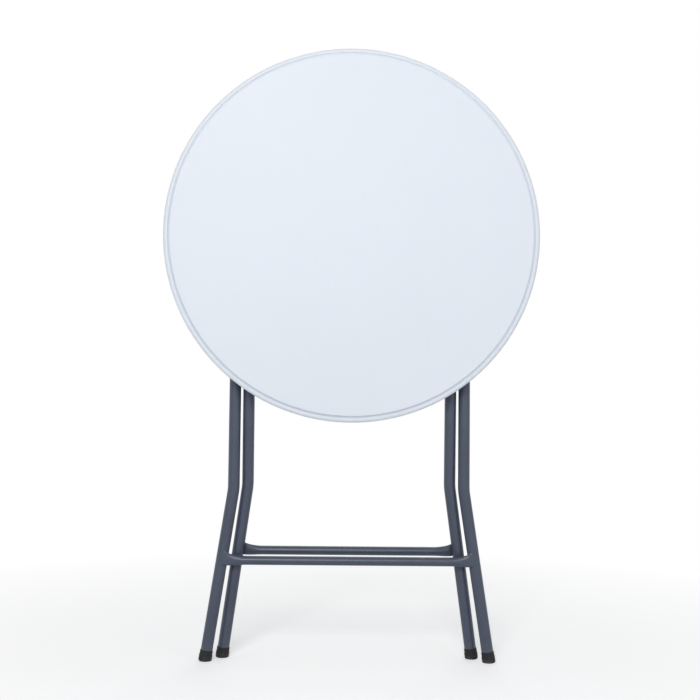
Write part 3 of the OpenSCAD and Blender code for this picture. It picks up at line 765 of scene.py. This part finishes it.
def top_line(top):
    """Section of the top from the middle of its face to the middle of its recess."""
    groove = top.radius - top.groove_in
    half = top.groove_width / 2
    soft = top.groove_depth * GROOVE_SOFT
    inner = top.radius - top.rim
    recess_round = top.recess * RECESS_SOFT
    seam = top.depth / 2
    seam_half = top.depth * SEAM_SHARE
    return rounded(
        [
            (0, 0, 0),
            (groove - half, 0, soft),
            (groove - half * GROOVE_FLOOR, top.groove_depth, soft * 0.5),
            (groove + half * GROOVE_FLOOR, top.groove_depth, soft * 0.5),
            (groove + half, 0, soft * 0.6),
            (top.radius, 0, top.edge_round * FACE_EDGE),
            (top.radius, seam - seam_half, 0),
            (top.radius - seam_half, seam, 0),
            (top.radius, seam + seam_half, 0),
            (top.radius, top.depth, top.edge_round * BACK_EDGE),
            (inner + recess_round / 2, top.depth, recess_round),
            (inner - recess_round / 2, top.depth - top.recess, recess_round),
            (0, top.depth - top.recess, 0),
        ]
    )


def dimple_places(top):
    """Middles of the dimples: columns clear of the rails, the stay and the pads."""
    pitch = top.dimple_pitch
    beside = top.rail_across + BESIDE_RAIL * pitch
    outside = 2 * sizes("table_frame").outer_half - beside
    columns = ((0.0, 0.0), (top.dimple_across, 0.5), (beside, 0.0), (outside, 0.5))
    limit = top.radius - top.rim - top.dimple_mouth / 2 - top.dimple_margin
    rows = math.floor(top.radius / pitch)
    floor = top.depth - top.recess
    return [
        (side * across, -(row + shift) * pitch, floor)
        for across, shift in columns
        for side in ((-1, 1) if across else (1,))
        for row in range(-rows, rows + 1)
        if math.hypot(across, (row + shift) * pitch) < limit
    ]


def dimple_shape(top):
    """Cutter for one dimple: a rounded mouth, a sloping wall and a rounded floor."""
    mouth, bottom = top.dimple_mouth / 2, top.dimple_floor / 2
    beyond = mouth + 2 * top.dimple_lip
    line = rounded(
        [
            (0, -top.dimple_depth, 0),
            (bottom, -top.dimple_depth, bottom * DIMPLE_SOFT),
            (mouth, 0, top.dimple_lip),
            (beyond, 0, 0),
            (beyond, CUT_PAST, 0),
            (0, CUT_PAST, 0),
        ]
    )
    bm = bmesh.new()
    lathe(bm, line, DIMPLE_SIDES)
    return loose_object("dimple_shape", bm)


def shade_groove(bm, top):
    """Marks painted shade in the groove in the attribute groove, stronger towards the foot of the face."""
    layer = bm.verts.layers.float.new("groove")
    middle = top.radius - top.groove_in
    for vert in bm.verts:
        off = abs(math.hypot(vert.co.x, vert.co.y) - middle) / (top.groove_width / 2)
        if vert.co.z < top.depth / 4:
            # Painted shade: the share of shade grows from the upper edge of the face to its foot.
            low = 0.5 + vert.co.y / (2 * top.radius)
            shade_share = TOP_SHADE_SHARE + (1 - TOP_SHADE_SHARE) * low
            vert[layer] = max(0.0, min(1.0, GROOVE_FADE - off)) * shade_share


class TABLE_OT_moulded_top(bpy.types.Operator):
    """Makes the round moulded top with its groove, bead and dimples"""

    bl_idname = "cocktail_table.moulded_top"
    bl_label = "Moulded top"

    def execute(self, context):
        top = sizes("table_top")
        bm = bmesh.new()
        lathe(bm, top_line(top), TOP_SIDES)
        blank = loose_object("top_blank", bm)
        shape = dimple_shape(top)
        dimples = copies("dimple_cutters", shape, dimple_places(top), {"Size": 1.0, "Most turn": 0.0})
        bm = carved(blank, dimples)
        discard(shape)
        shade_groove(bm, top)
        piece("moulded_top", bm, "white_plastic", "tabletop", ["top_panel"], top_place())
        return {"FINISHED"}


# Legs

TUBE_SIDES = 48
BEND_STEPS = 16


class LegFrame(NamedTuple):
    """One pair of legs; its heights are measured from the pivot, along the legs."""

    kind: str
    nodes: str
    body: str
    place: Matrix
    half: float
    bend: float
    flare: float
    top_end: float
    bar_height: float


def outer_frame():
    now = sizes("table_frame")
    return LegFrame(
        kind="outer",
        nodes="front",
        body="front_frame",
        place=front_place(),
        half=now.outer_half,
        bend=now.outer_bend - now.pivot_height,
        flare=now.outer_flare,
        top_end=HINGE_HEIGHT,
        bar_height=sizes("table_bars").front_height - now.pivot_height,
    )


def inner_frame():
    now = sizes("table_frame")
    return LegFrame(
        kind="inner",
        nodes="rear",
        body="rear_frame",
        place=rear_place(),
        half=now.inner_half,
        bend=now.inner_bend - now.pivot_height,
        flare=now.inner_flare,
        top_end=now.stub,
        bar_height=sizes("table_bars").rear_height - now.pivot_height,
    )


def bend_point(leg, turn):
    """Middle of a right leg where its bend has turned outwards by an angle."""
    radius = sizes("table_frame").bend_radius
    start = leg.bend + radius * math.tan(leg.flare / 2)
    return Vector((leg.half + radius * (1 - math.cos(turn)), 0, start - radius * math.sin(turn)))


def on_leg(leg, height):
    """Middle of a right leg at a height below its bend."""
    end = bend_point(leg, leg.flare)
    return Vector((end.x + (end.z - height) * math.tan(leg.flare), 0, height))


def tube_end():
    """Height of the lower end of a leg's tube, inside its foot."""
    foot = sizes("table_feet")
    return -sizes("table_frame").pivot_height - foot.trim + foot.floor


def leg_line(leg):
    """Middles and outward turns of a right leg, from its top to its foot."""
    line = [(Vector((leg.half, 0, leg.top_end)), 0.0)]
    for i in range(BEND_STEPS + 1):
        turn = leg.flare * i / BEND_STEPS
        line.append((bend_point(leg, turn), turn))
    line.append((on_leg(leg, tube_end()), leg.flare))
    return line


def tube_rings(line, radius):
    """Rings of a round tube, each square to its line."""
    turns = [math.tau * i / TUBE_SIDES for i in range(TUBE_SIDES)]
    rings = []
    for centre, lean in line:
        across = Vector((math.cos(lean), 0, math.sin(lean)))
        rings.append(
            [
                centre + (across * math.cos(turn) + BACKWARDS * math.sin(turn)) * radius
                for turn in turns
            ]
        )
    return rings


class TABLE_OT_bent_legs(bpy.types.Operator):
    """Makes the four bent leg tubes"""

    bl_idname = "cocktail_table.bent_legs"
    bl_label = "Bent legs"

    def execute(self, context):
        radius = sizes("table_frame").tube / 2
        for leg in (outer_frame(), inner_frame()):
            for side, mirror in SIDES:
                bm = bmesh.new()
                skin(bm, tube_rings(leg_line(leg), radius))
                replaced = [f"{leg.nodes}_{side}_leg"]
                place = leg.place @ mirror
                piece(f"{leg.kind}_leg_{side}", bm, "frame_paint", leg.body, replaced, place)
        return {"FINISHED"}


# Crossbars

BAR_SIDES = 64
PRESS_STEPS = 20
CORNER_STEPS = 4
CORNER_SHARE = 0.8
THIN_SHARE = 0.4
SQUARE_SHARE = 0.68
PRESS_SHARES = (
    (0, 0, 0),
    (0.2, 0.06, 0.01),
    (0.4, 0.2, 0.05),
    (0.6, 0.38, 0.15),
    (0.8, 0.62, 0.4),
    (1, 1, 1),
)
FLATTENED, RAISED = 1, 2


def eased(part, column):
    """Smooth curve through a column of the press shares."""
    xs = [row[0] for row in PRESS_SHARES]
    ys = [row[column] for row in PRESS_SHARES]
    k = min(int(part * (len(xs) - 1)), len(xs) - 2)
    t = (part - xs[k]) / (xs[k + 1] - xs[k])
    before = 2 * ys[0] - ys[1] if k == 0 else ys[k - 1]
    after = ys[k + 1] if k + 2 == len(ys) else ys[k + 2]
    a, b = ys[k], ys[k + 1]
    leave, arrive = (0.0 if k == 0 else (b - before) / 2), (after - a) / 2
    return (
        a * (2 * t**3 - 3 * t**2 + 1)
        + leave * (t**3 - 2 * t**2 + t)
        + b * (3 * t**2 - 2 * t**3)
        + arrive * (t**3 - t**2)
    )


def bar_section(middle, share, shrink, slant):
    """Section of a crossbar, from round at share 0 to a pressed flat at share 1."""
    bars = sizes("table_bars")
    power = 1 - SQUARE_SHARE * share
    half_y = bars.diameter / 2 * (1 - share) + bars.flat_thickness / 2 * share - shrink * THIN_SHARE
    half_z = bars.diameter / 2 * (1 - share) + bars.flat_height / 2 * share - shrink
    points = []
    for i in range(BAR_SIDES):
        turn = math.tau * (i + 0.5) / BAR_SIDES
        out, up = math.cos(turn), math.sin(turn)
        y = middle.y + half_y * math.copysign(abs(out) ** power, out)
        z = middle.z + half_z * math.copysign(abs(up) ** ((1 + power) / 2), up)
        points.append(Vector((middle.x - z * slant * share, y, z)))
    return points


def bar_end(leg):
    """Rows of (distance out, flat share, rise, shrink) from the round bar to its tip."""
    bars = sizes("table_bars")
    tip = on_leg(leg, leg.bar_height).x
    start = tip - bars.flat_length - bars.press_length
    rows = []
    for i in range(PRESS_STEPS + 1):
        part = i / PRESS_STEPS
        rise = bars.flat_rise * eased(part, RAISED)
        rows.append((start + bars.press_length * part, eased(part, FLATTENED), rise, 0.0))
    corner = bars.flat_corner
    for i in range(CORNER_STEPS + 1):
        turn = math.radians(90) * i / CORNER_STEPS
        shrink = corner * min(1 - math.cos(turn), CORNER_SHARE)
        rows.append((tip - corner + corner * math.sin(turn), 1.0, bars.flat_rise, shrink))
    return rows


def pressed_bar(leg, side):
    """Crossbar on one side of its legs, with pressed ends that slant like the legs."""
    now, bars = sizes("table_frame"), sizes("table_bars")
    round_y = (now.tube - bars.diameter + bars.flat_thickness) / 2
    flat_y = now.tube / 2 - bars.flat_seat
    right = bar_end(leg)
    rings = []
    for sign, rows in ((-1, right[::-1]), (1, right)):
        for out, share, rise, shrink in rows:
            y = side * (round_y * (1 - share) + flat_y * share)
            middle = Vector((sign * out, y, rise))
            rings.append(bar_section(middle, share, shrink, sign * math.tan(leg.flare)))
    bm = bmesh.new()
    skin(bm, rings)
    bmesh.ops.translate(bm, verts=bm.verts, vec=(0, 0, leg.bar_height))
    return bm


class TABLE_OT_crossbars(bpy.types.Operator):
    """Makes the two crossbars with their pressed flat ends"""

    bl_idname = "cocktail_table.crossbars"
    bl_label = "Crossbars"

    def execute(self, context):
        for leg, side in ((outer_frame(), -1), (inner_frame(), 1)):
            bm, replaced = pressed_bar(leg, side), [f"{leg.nodes}_crossbar"]
            piece(f"{leg.nodes}_pressed_bar", bm, "frame_paint", leg.body, replaced, leg.place)
        return {"FINISHED"}


# Feet

FOOT_SIDES = 56
STEP_SHARE = 0.62
BODY_ROUND = 0.0004
STEP_ROUND = 0.0003
LIP_DRAFT = 0.0001


def foot_line(foot):
    """Section of a foot: a rounded sole, a plain body, a step and a thin upper lip."""
    radius = foot.diameter / 2
    step = foot.height * STEP_SHARE
    lip = radius - foot.lip
    return rounded(
        [
            (0, 0, 0),
            (radius - foot.draft, 0, foot.rounding),
            (radius, step - foot.step, BODY_ROUND),
            (lip, step, STEP_ROUND),
            (lip - LIP_DRAFT, foot.height, foot.lip_round),
            (0, foot.height, 0),
        ]
    )


def cut_at_floor(bm):
    """Cuts away what is below the floor and closes the sole."""
    everything = bm.verts[:] + bm.edges[:] + bm.faces[:]
    bmesh.ops.bisect_plane(
        bm, geom=everything, plane_co=(0, 0, 0), plane_no=(0, 0, 1), clear_inner=True
    )
    rim = [edge for edge in bm.edges if edge.is_boundary]
    bmesh.ops.contextual_create(bm, geom=rim)


class TABLE_OT_rubber_feet(bpy.types.Operator):
    """Makes the four rubber feet, their soles flat on the floor"""

    bl_idname = "cocktail_table.rubber_feet"
    bl_label = "Rubber feet"

    def execute(self, context):
        foot = sizes("table_feet")
        down = Matrix.Translation((0, 0, -foot.floor))
        for leg in (outer_frame(), inner_frame()):
            end = Matrix.Translation(on_leg(leg, tube_end())) @ Matrix.Rotation(-leg.flare, 4, "Y")
            for side, mirror in SIDES:
                bm = bmesh.new()
                lathe(bm, foot_line(foot), FOOT_SIDES)
                bm.transform(leg.place @ mirror @ end @ down)
                cut_at_floor(bm)
                replaced = [f"{leg.nodes}_{side}_foot"]
                piece(f"{leg.kind}_foot_{side}", bm, "black_rubber", leg.body, replaced)
        return {"FINISHED"}


# Bolts and nuts

DOME_STEPS = 12
DOME_POWER = 0.75
NUT_SIDES = 72
NUT_FLAT = 0.97
NUT_HEIGHT_SHARE = 0.8
NUT_ACROSS_SHARE = 1.56
NUT_CHAMFER = math.radians(30)


def bolt_mesh(low, head_at, fasteners):
    """Pivot bolt along Z: a plain shank and a low domed head."""
    radius, head = fasteners.bolt / 2, fasteners.bolt_head / 2
    chamfer = fasteners.bolt_chamfer
    edge = head_at + 2 * chamfer
    rise = fasteners.bolt_head_height - 2 * chamfer
    line = [
        (0, low),
        (radius - chamfer, low),
        (radius, low + chamfer),
        (radius, head_at),
        (head - chamfer, head_at),
        (head, head_at + chamfer),
        (head, edge),
    ]
    for i in range(1, DOME_STEPS):
        turn = math.radians(90) * i / DOME_STEPS
        line.append((head * math.cos(turn) ** DOME_POWER, edge + rise * math.sin(turn)))
    line.append((0, edge + rise))
    bm = bmesh.new()
    lathe(bm, line, TUBE_SIDES)
    return bm


def nut_mesh(low, high, across, bore):
    """Hexagon nut along Z, its corners chamfered round both ends."""
    flat = across / 2 * NUT_FLAT
    sixth = math.radians(60)
    bm = bmesh.new()
    rings = [[] for _ in range(6)]
    for i in range(NUT_SIDES):
        turn = math.tau * i / NUT_SIDES
        wall = across / 2 / math.cos((turn + sixth / 2) % sixth - sixth / 2)
        drop = max(0.0, (wall - flat) * math.tan(NUT_CHAMFER))
        section = (
            (bore, low), (flat, low), (wall, low + drop),
            (wall, high - drop), (flat, high), (bore, high),
        )
        for ring, (radius, height) in zip(rings, section):
            ring.append(bm.verts.new((radius * math.cos(turn), radius * math.sin(turn), height)))
    for first, second in zip(rings, rings[1:] + rings[:1]):
        bridge(bm, first, second)
    return bm


class TABLE_OT_pivots(bpy.types.Operator):
    """Makes the domed pivot bolts and their nuts"""

    bl_idname = "cocktail_table.pivots"
    bl_label = "Pivot bolts and nuts"

    def execute(self, context):
        now, fasteners = sizes("table_frame"), sizes("table_fasteners")
        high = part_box("pivot_nuts")[1].x
        low = high - fasteners.bolt * NUT_HEIGHT_SHARE
        head_at = now.outer_half + now.tube / 2 - fasteners.bolt_seat
        bolt = bolt_mesh(low - fasteners.bolt_end, head_at, fasteners)
        nut = nut_mesh(low, high, fasteners.bolt * NUT_ACROSS_SHARE, fasteners.bolt / 2)
        for name, bm, replaced in (
            ("domed_pivot_bolts", bolt, ["pivot_bolts"]),
            ("chamfered_nuts", nut, ["pivot_nuts"]),
        ):
            bm.transform(ALONG_X)
            both_sides(bm)
            piece(name, bm, "zinc_steel", "front_frame", replaced, front_place())
        return {"FINISHED"}


# Screws, pads and the stay's bar

SCREW_SIDES = 32
SCREW_HEIGHT = 0.3
SCREW_STEP = math.radians(15)
SCREW_LINE = (
    (0, -0.4, 0),
    (0.22, -0.4, 0),
    (0.22, 0, 0),
    (0.5, 0, 0),
    (0.5, 0.12, 0.06),
    (0.34, SCREW_HEIGHT, 0.16),
    (0, SCREW_HEIGHT, 0),
)
CROSS_ARM, CROSS_REACH = 0.045, 0.24
CROSS_ABOVE = 0.05
CROSS_FLOOR = 0.35
CROSS_TAPER = 0.55
SCREW_ROWS = (
    ("rail_screw_heads", "rail_screws", 11),
    ("saddle_screw_heads", "saddle_screws", 12),
    ("bracket_screw_heads", "bracket_screws", 13),
)


def screw_shape():
    """Pan head of unit diameter with a cross recess, its underside on Z = 0."""
    bm = bmesh.new()
    lathe(bm, rounded(SCREW_LINE, SCREW_STEP), SCREW_SIDES)
    head = loose_object("screw_head", bm)
    corner = [(CROSS_ARM, CROSS_ARM), (CROSS_ARM, CROSS_REACH), (-CROSS_ARM, CROSS_REACH)]
    outline = []
    for _ in range(4):
        outline += corner
        corner = [(-y, x) for x, y in corner]
    cutter = bmesh.new()
    prism(cutter, outline, SCREW_HEIGHT + CROSS_ABOVE, SCREW_HEIGHT * CROSS_FLOOR, CROSS_TAPER)
    recess = loose_object("screw_recess", cutter)
    return loose_object("screw_shape", carved(head, recess))


def copies_on_top(name, shape, places, values, slot, node_name):
    """Finished copies of a shape at places in the top's own axes."""
    made = copies(name, shape, places, {"Finish": finish(slot), **values})
    made.data.transform(top_place())
    settle(made, "tabletop", [node_name])


class TABLE_OT_screws(bpy.types.Operator):
    """Makes the cross-head screws of the rails, the saddles and the brackets"""

    bl_idname = "cocktail_table.screws"
    bl_label = "Screws"

    def execute(self, context):
        head = sizes("table_fasteners").screw_head
        upright = top_place().inverted()
        shape = screw_shape()
        for name, node_name, seed in SCREW_ROWS:
            places = []
            for low, high in solid_boxes(node_name, upright):
                middle = (low + high) / 2
                places.append((middle.x, middle.y, high.z - head * SCREW_HEIGHT))
            values = {"Size": head, "Seed": seed}
            copies_on_top(name, shape, places, values, "zinc_steel", node_name)
        discard(shape)
        return {"FINISHED"}


class TABLE_OT_pads_and_bar(bpy.types.Operator):
    """Makes the rounded bumper pads and the stay's bar with its domed ends"""

    bl_idname = "cocktail_table.pads_and_bar"
    bl_label = "Bumper pads and stay bar"

    def execute(self, context):
        soft = sizes("table_top").pad_round
        pads = solid_boxes("bumper_pads", top_place().inverted())
        bases = [((low.x + high.x) / 2, (low.y + high.y) / 2, low.z) for low, high in pads]
        span = pads[-1][1] - pads[-1][0]
        radius, height = span.x / 2, span.z
        bm = bmesh.new()
        pad_line = rounded([(0, 0, 0), (radius, 0, 0), (radius, height, soft), (0, height, 0)])
        lathe(bm, pad_line, TUBE_SIDES)
        shape = loose_object("pad_shape", bm)
        values = {"Size": 1.0, "Most turn": 0.0}
        copies_on_top("rounded_pads", shape, bases, values, "black_rubber", "bumper_pads")
        discard(shape)
        low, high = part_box("stay_bar")
        radius, half = (high.z - low.z) / 2, (high.x - low.x) / 2
        dome = radius / 2
        bm = bmesh.new()
        bar_line = rounded([(0, -half, 0), (radius, -half, dome), (radius, half, dome), (0, half, 0)])
        lathe(bm, bar_line, TUBE_SIDES)
        bm.transform(ALONG_X)
        place = Matrix.Translation((low + high) / 2)
        piece("domed_stay_bar", bm, "zinc_steel", "stay", ["stay_bar"], place)
        return {"FINISHED"}


# Welds

BEAD_STEPS = 40
FLAT_BEAD_STEPS = 8
FLAT_BEAD_SHARE = 0.82
BEAD_OUT = 0.3


def saddle_path(x, height, bar_radius, leg_radius):
    """Line where an upright leg meets the underside of a tube across it."""
    path = []
    for i in range(BEAD_STEPS + 1):
        turn = math.tau * i / BEAD_STEPS
        y = leg_radius * math.sin(turn)
        drop = math.sqrt(max(bar_radius**2 - min(abs(y), bar_radius) ** 2, 0))
        path.append(Vector((x + leg_radius * math.cos(turn), y, height - drop)))
    return path


def butt_path(x, height, bar_radius, leg_radius):
    """Line where a tube along X butts on the inner side of an upright leg."""
    path = []
    for i in range(BEAD_STEPS + 1):
        turn = math.tau * i / BEAD_STEPS
        y = bar_radius * math.cos(turn)
        inner = x - math.sqrt(leg_radius**2 - y * y)
        path.append(Vector((inner, y, height + bar_radius * math.sin(turn))))
    return path


def flat_path(leg, across):
    """Line up the end of a pressed flat, over the middle of its leg."""
    bars = sizes("table_bars")
    reach = bars.flat_height / 2 * FLAT_BEAD_SHARE
    middle = on_leg(leg, leg.bar_height)
    path = []
    for i in range(FLAT_BEAD_STEPS + 1):
        up = bars.flat_rise - reach + 2 * reach * i / FLAT_BEAD_STEPS
        path.append(Vector((middle.x - up * math.tan(leg.flare), across, middle.z + up)))
    return path


def path_mesh(paths):
    """Mesh of plain edges along each path of points."""
    bm = bmesh.new()
    for path in paths:
        verts = [bm.verts.new(point) for point in path]
        for first, second in zip(verts, verts[1:]):
            bm.edges.new((first, second))
    return bm


class TABLE_OT_welds(bpy.types.Operator):
    """Makes the weld beads of both frames"""

    bl_idname = "cocktail_table.welds"
    bl_label = "Welds"

    def execute(self, context):
        bead = sizes("table_bars").weld
        radius = sizes("table_frame").tube / 2
        flat_y = radius + bead * BEAD_OUT
        outer, inner = outer_frame(), inner_frame()
        low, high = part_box("rear_top_bar")
        bar_height = -(middle_of("rear_top_bar") - PIVOT).length
        rows = (
            (outer, flat_path(outer, -flat_y), saddle_path(outer.half, HINGE_HEIGHT, radius, radius)),
            (
                inner,
                flat_path(inner, flat_y),
                butt_path(inner.half, bar_height, (high.z - low.z) / 2, radius),
            ),
        )
        values = {"Radius": bead, "Finish": finish("frame_paint")}
        for leg, *right in rows:
            left = [[ON_LEFT @ point for point in path] for path in right]
            beads = group_of("Weld bead", make_bead)
            made = grown(f"{leg.kind}_frame_welds", path_mesh(left + right), beads, values)
            made.data.transform(leg.place)
            settle(made, leg.body, [])
        return {"FINISHED"}


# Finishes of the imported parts


class TABLE_OT_fittings(bpy.types.Operator):
    """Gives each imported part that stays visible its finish"""

    bl_idname = "cocktail_table.fittings"
    bl_label = "Finishes of the fittings"

    def execute(self, context):
        slots = {row["node"]: row["material_slot"] for row in frame["record"]["subparts"]}
        for name, thing in frame["nodes"].items():
            if thing.hide_render:
                continue
            coat = finish(slots[name])
            if not thing.material_slots:
                thing.data.materials.append(coat)
            for held in thing.material_slots:
                held.link = "OBJECT"
                held.material = coat
        return {"FINISHED"}


# Stage

CAMERA_PLACE = Vector((-0.0448, -2.3536, 0.5791))
CAMERA_YAW = math.radians(-1.06)
CAMERA_PITCH = math.radians(1.972)
CAMERA_ROLL = math.radians(0.623)
CAMERA_LENS = 56.57
CAMERA_SENSOR = 36.0
LIT_POINT = Vector((0, 0, 0.7))
# Each light: name, place, watts, width and height.
LIGHTS = (
    ("key_light", (-0.8, -4.8, 2.9), 139, 2.0, 2.0),
    ("fill_light", (2.4, -2.8, 1.2), 9, 1.8, 1.8),
    ("back_light", (0.6, 3.2, 2.9), 26, 2.6, 1.6),
)
WHITE = (1, 1, 1, 1)
SOFT_TINT = (0.96, 0.98, 1, 1)
SOFT_LIGHT = 0.32
FLOOR_LIFT = 0.36
FADE_FROM, FADE_TO = 0.5, 1.6
FLOOR_HALF = 30


def studio_camera():
    """Camera at the photograph's place, slightly turned and rolled."""
    yaw, pitch, roll = CAMERA_YAW, CAMERA_PITCH, CAMERA_ROLL
    ahead = Vector(
        (-math.sin(yaw) * math.cos(pitch), math.cos(yaw) * math.cos(pitch), math.sin(pitch))
    )
    level = Vector((math.cos(yaw), math.sin(yaw), 0))
    above = level.cross(ahead)
    right = level * math.cos(roll) + above * math.sin(roll)
    up = above * math.cos(roll) - level * math.sin(roll)
    data = bpy.data.cameras.new("studio_camera")
    data.sensor_width = CAMERA_SENSOR
    data.lens = CAMERA_LENS
    camera = bpy.data.objects.new("studio_camera", data)
    bpy.context.scene.collection.objects.link(camera)
    turn = Matrix((right, up, -ahead)).transposed().to_4x4()
    camera.matrix_world = Matrix.Translation(CAMERA_PLACE) @ turn
    bpy.context.scene.camera = camera


def studio_light(name, place, power, width, height):
    """Soft rectangular light that faces the lit point."""
    data = bpy.data.lights.new(name, "AREA")
    data.shape = "RECTANGLE"
    data.size, data.size_y = width, height
    data.energy = power
    light = bpy.data.objects.new(name, data)
    bpy.context.scene.collection.objects.link(light)
    turn = (LIT_POINT - Vector(place)).to_track_quat("-Z", "Y")
    light.matrix_world = Matrix.Translation(place) @ turn.to_matrix().to_4x4()


def shown(tree):
    """1 for the rays that show the background: seen directly, in gloss or through glass."""
    path = node(tree, "ShaderNodeLightPath").outputs
    seen = maths(tree, "MAXIMUM", path["Is Camera Ray"], path["Is Glossy Ray"])
    return maths(tree, "MAXIMUM", seen, path["Is Transmission Ray"])


def floor_finish():
    """Pale floor that looks white to the camera and still takes the shadow."""
    made = bpy.data.materials.new("Studio floor")
    made.use_nodes = True
    tree = made.node_tree
    shader = tree.nodes["Principled BSDF"]
    base = sizes("table_colours").floor
    place = node(tree, "ShaderNodeTexCoord").outputs["Object"]
    tone = mixed(tree, noise(tree, place, scale=3.0, detail=2.0), shaded(base, 0.995), shaded(base, 1.005))
    tree.links.new(tone, shader.inputs["Base Color"])
    shader.inputs["Roughness"].default_value = 0.9
    shader.inputs["Specular IOR Level"].default_value = 0.1
    seen = shown(tree)
    away = node(tree, "ShaderNodeVectorMath", {0: place}, operation="LENGTH").outputs["Value"]
    far = maths(tree, "MULTIPLY", between(tree, away, FADE_FROM, FADE_TO), seen)
    near = maths(tree, "MULTIPLY", seen, FLOOR_LIFT)
    glow = node(tree, "ShaderNodeEmission", {"Color": WHITE, "Strength": 1.0})
    lift = node(tree, "ShaderNodeEmission", {"Color": WHITE, "Strength": near})
    both = node(tree, "ShaderNodeAddShader", {0: shader.outputs[0], 1: lift.outputs[0]})
    faded = node(tree, "ShaderNodeMixShader", {0: far, 1: both.outputs[0], 2: glow.outputs[0]})
    tree.links.new(faded.outputs[0], tree.nodes["Material Output"].inputs["Surface"])
    return made


def studio_world():
    """Plain soft light all round, and pure white where the camera sees it."""
    world = bpy.data.worlds.new("Studio")
    bpy.context.scene.world = world
    world.use_nodes = True
    tree = world.node_tree
    soft = node(tree, "ShaderNodeBackground", {"Color": SOFT_TINT, "Strength": SOFT_LIGHT})
    white = node(tree, "ShaderNodeBackground", {"Color": WHITE, "Strength": 1.0})
    both = node(
        tree, "ShaderNodeMixShader", {0: shown(tree), 1: soft.outputs[0], 2: white.outputs[0]}
    )
    tree.links.new(both.outputs[0], tree.nodes["World Output"].inputs["Surface"])


class TABLE_OT_studio(bpy.types.Operator):
    """Makes the floor, the soft lights and the camera"""

    bl_idname = "cocktail_table.studio"
    bl_label = "Studio"

    def execute(self, context):
        bm = bmesh.new()
        bmesh.ops.create_grid(bm, x_segments=1, y_segments=1, size=FLOOR_HALF)
        mesh = bpy.data.meshes.new("studio_floor")
        bm.to_mesh(mesh)
        bm.free()
        mesh.materials.append(floor_finish())
        floor = bpy.data.objects.new("studio_floor", mesh)
        context.scene.collection.objects.link(floor)
        studio_world()
        for row in LIGHTS:
            studio_light(*row)
        studio_camera()
        context.scene.view_settings.view_transform = "Standard"
        return {"FINISHED"}


class TABLE_PT_sidebar(bpy.types.Panel):
    bl_idname = "TABLE_PT_sidebar"
    bl_label = "Folding cocktail table"
    bl_space_type = "VIEW_3D"
    bl_region_type = "UI"
    bl_category = "Table"

    def draw(self, context):
        for group, kind in GROUPS.items():
            box = self.layout.box()
            held = getattr(context.scene, group)
            for key in kind.__annotations__:
                box.prop(held, key)
        for operator in OPERATORS:
            self.layout.operator(operator.bl_idname)


OPERATORS = (
    TABLE_OT_moulded_top,
    TABLE_OT_bent_legs,
    TABLE_OT_crossbars,
    TABLE_OT_rubber_feet,
    TABLE_OT_pivots,
    TABLE_OT_screws,
    TABLE_OT_pads_and_bar,
    TABLE_OT_welds,
    TABLE_OT_fittings,
    TABLE_OT_studio,
)
CLASSES = (*GROUPS.values(), *OPERATORS, TABLE_PT_sidebar)


def register():
    for kind in CLASSES:
        bpy.utils.register_class(kind)
    for group, kind in GROUPS.items():
        setattr(bpy.types.Scene, group, bpy.props.PointerProperty(type=kind))


def unregister():
    for group in GROUPS:
        delattr(bpy.types.Scene, group)
    for kind in reversed(CLASSES):
        bpy.utils.unregister_class(kind)


def main():
    register()
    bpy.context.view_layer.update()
    for operator in OPERATORS:
        group, name = operator.bl_idname.split(".")
        if getattr(getattr(bpy.ops, group), name)() != {"FINISHED"}:
            raise RuntimeError(f"{operator.bl_label} wasn't made")


if __name__ == "__main__":
    main()
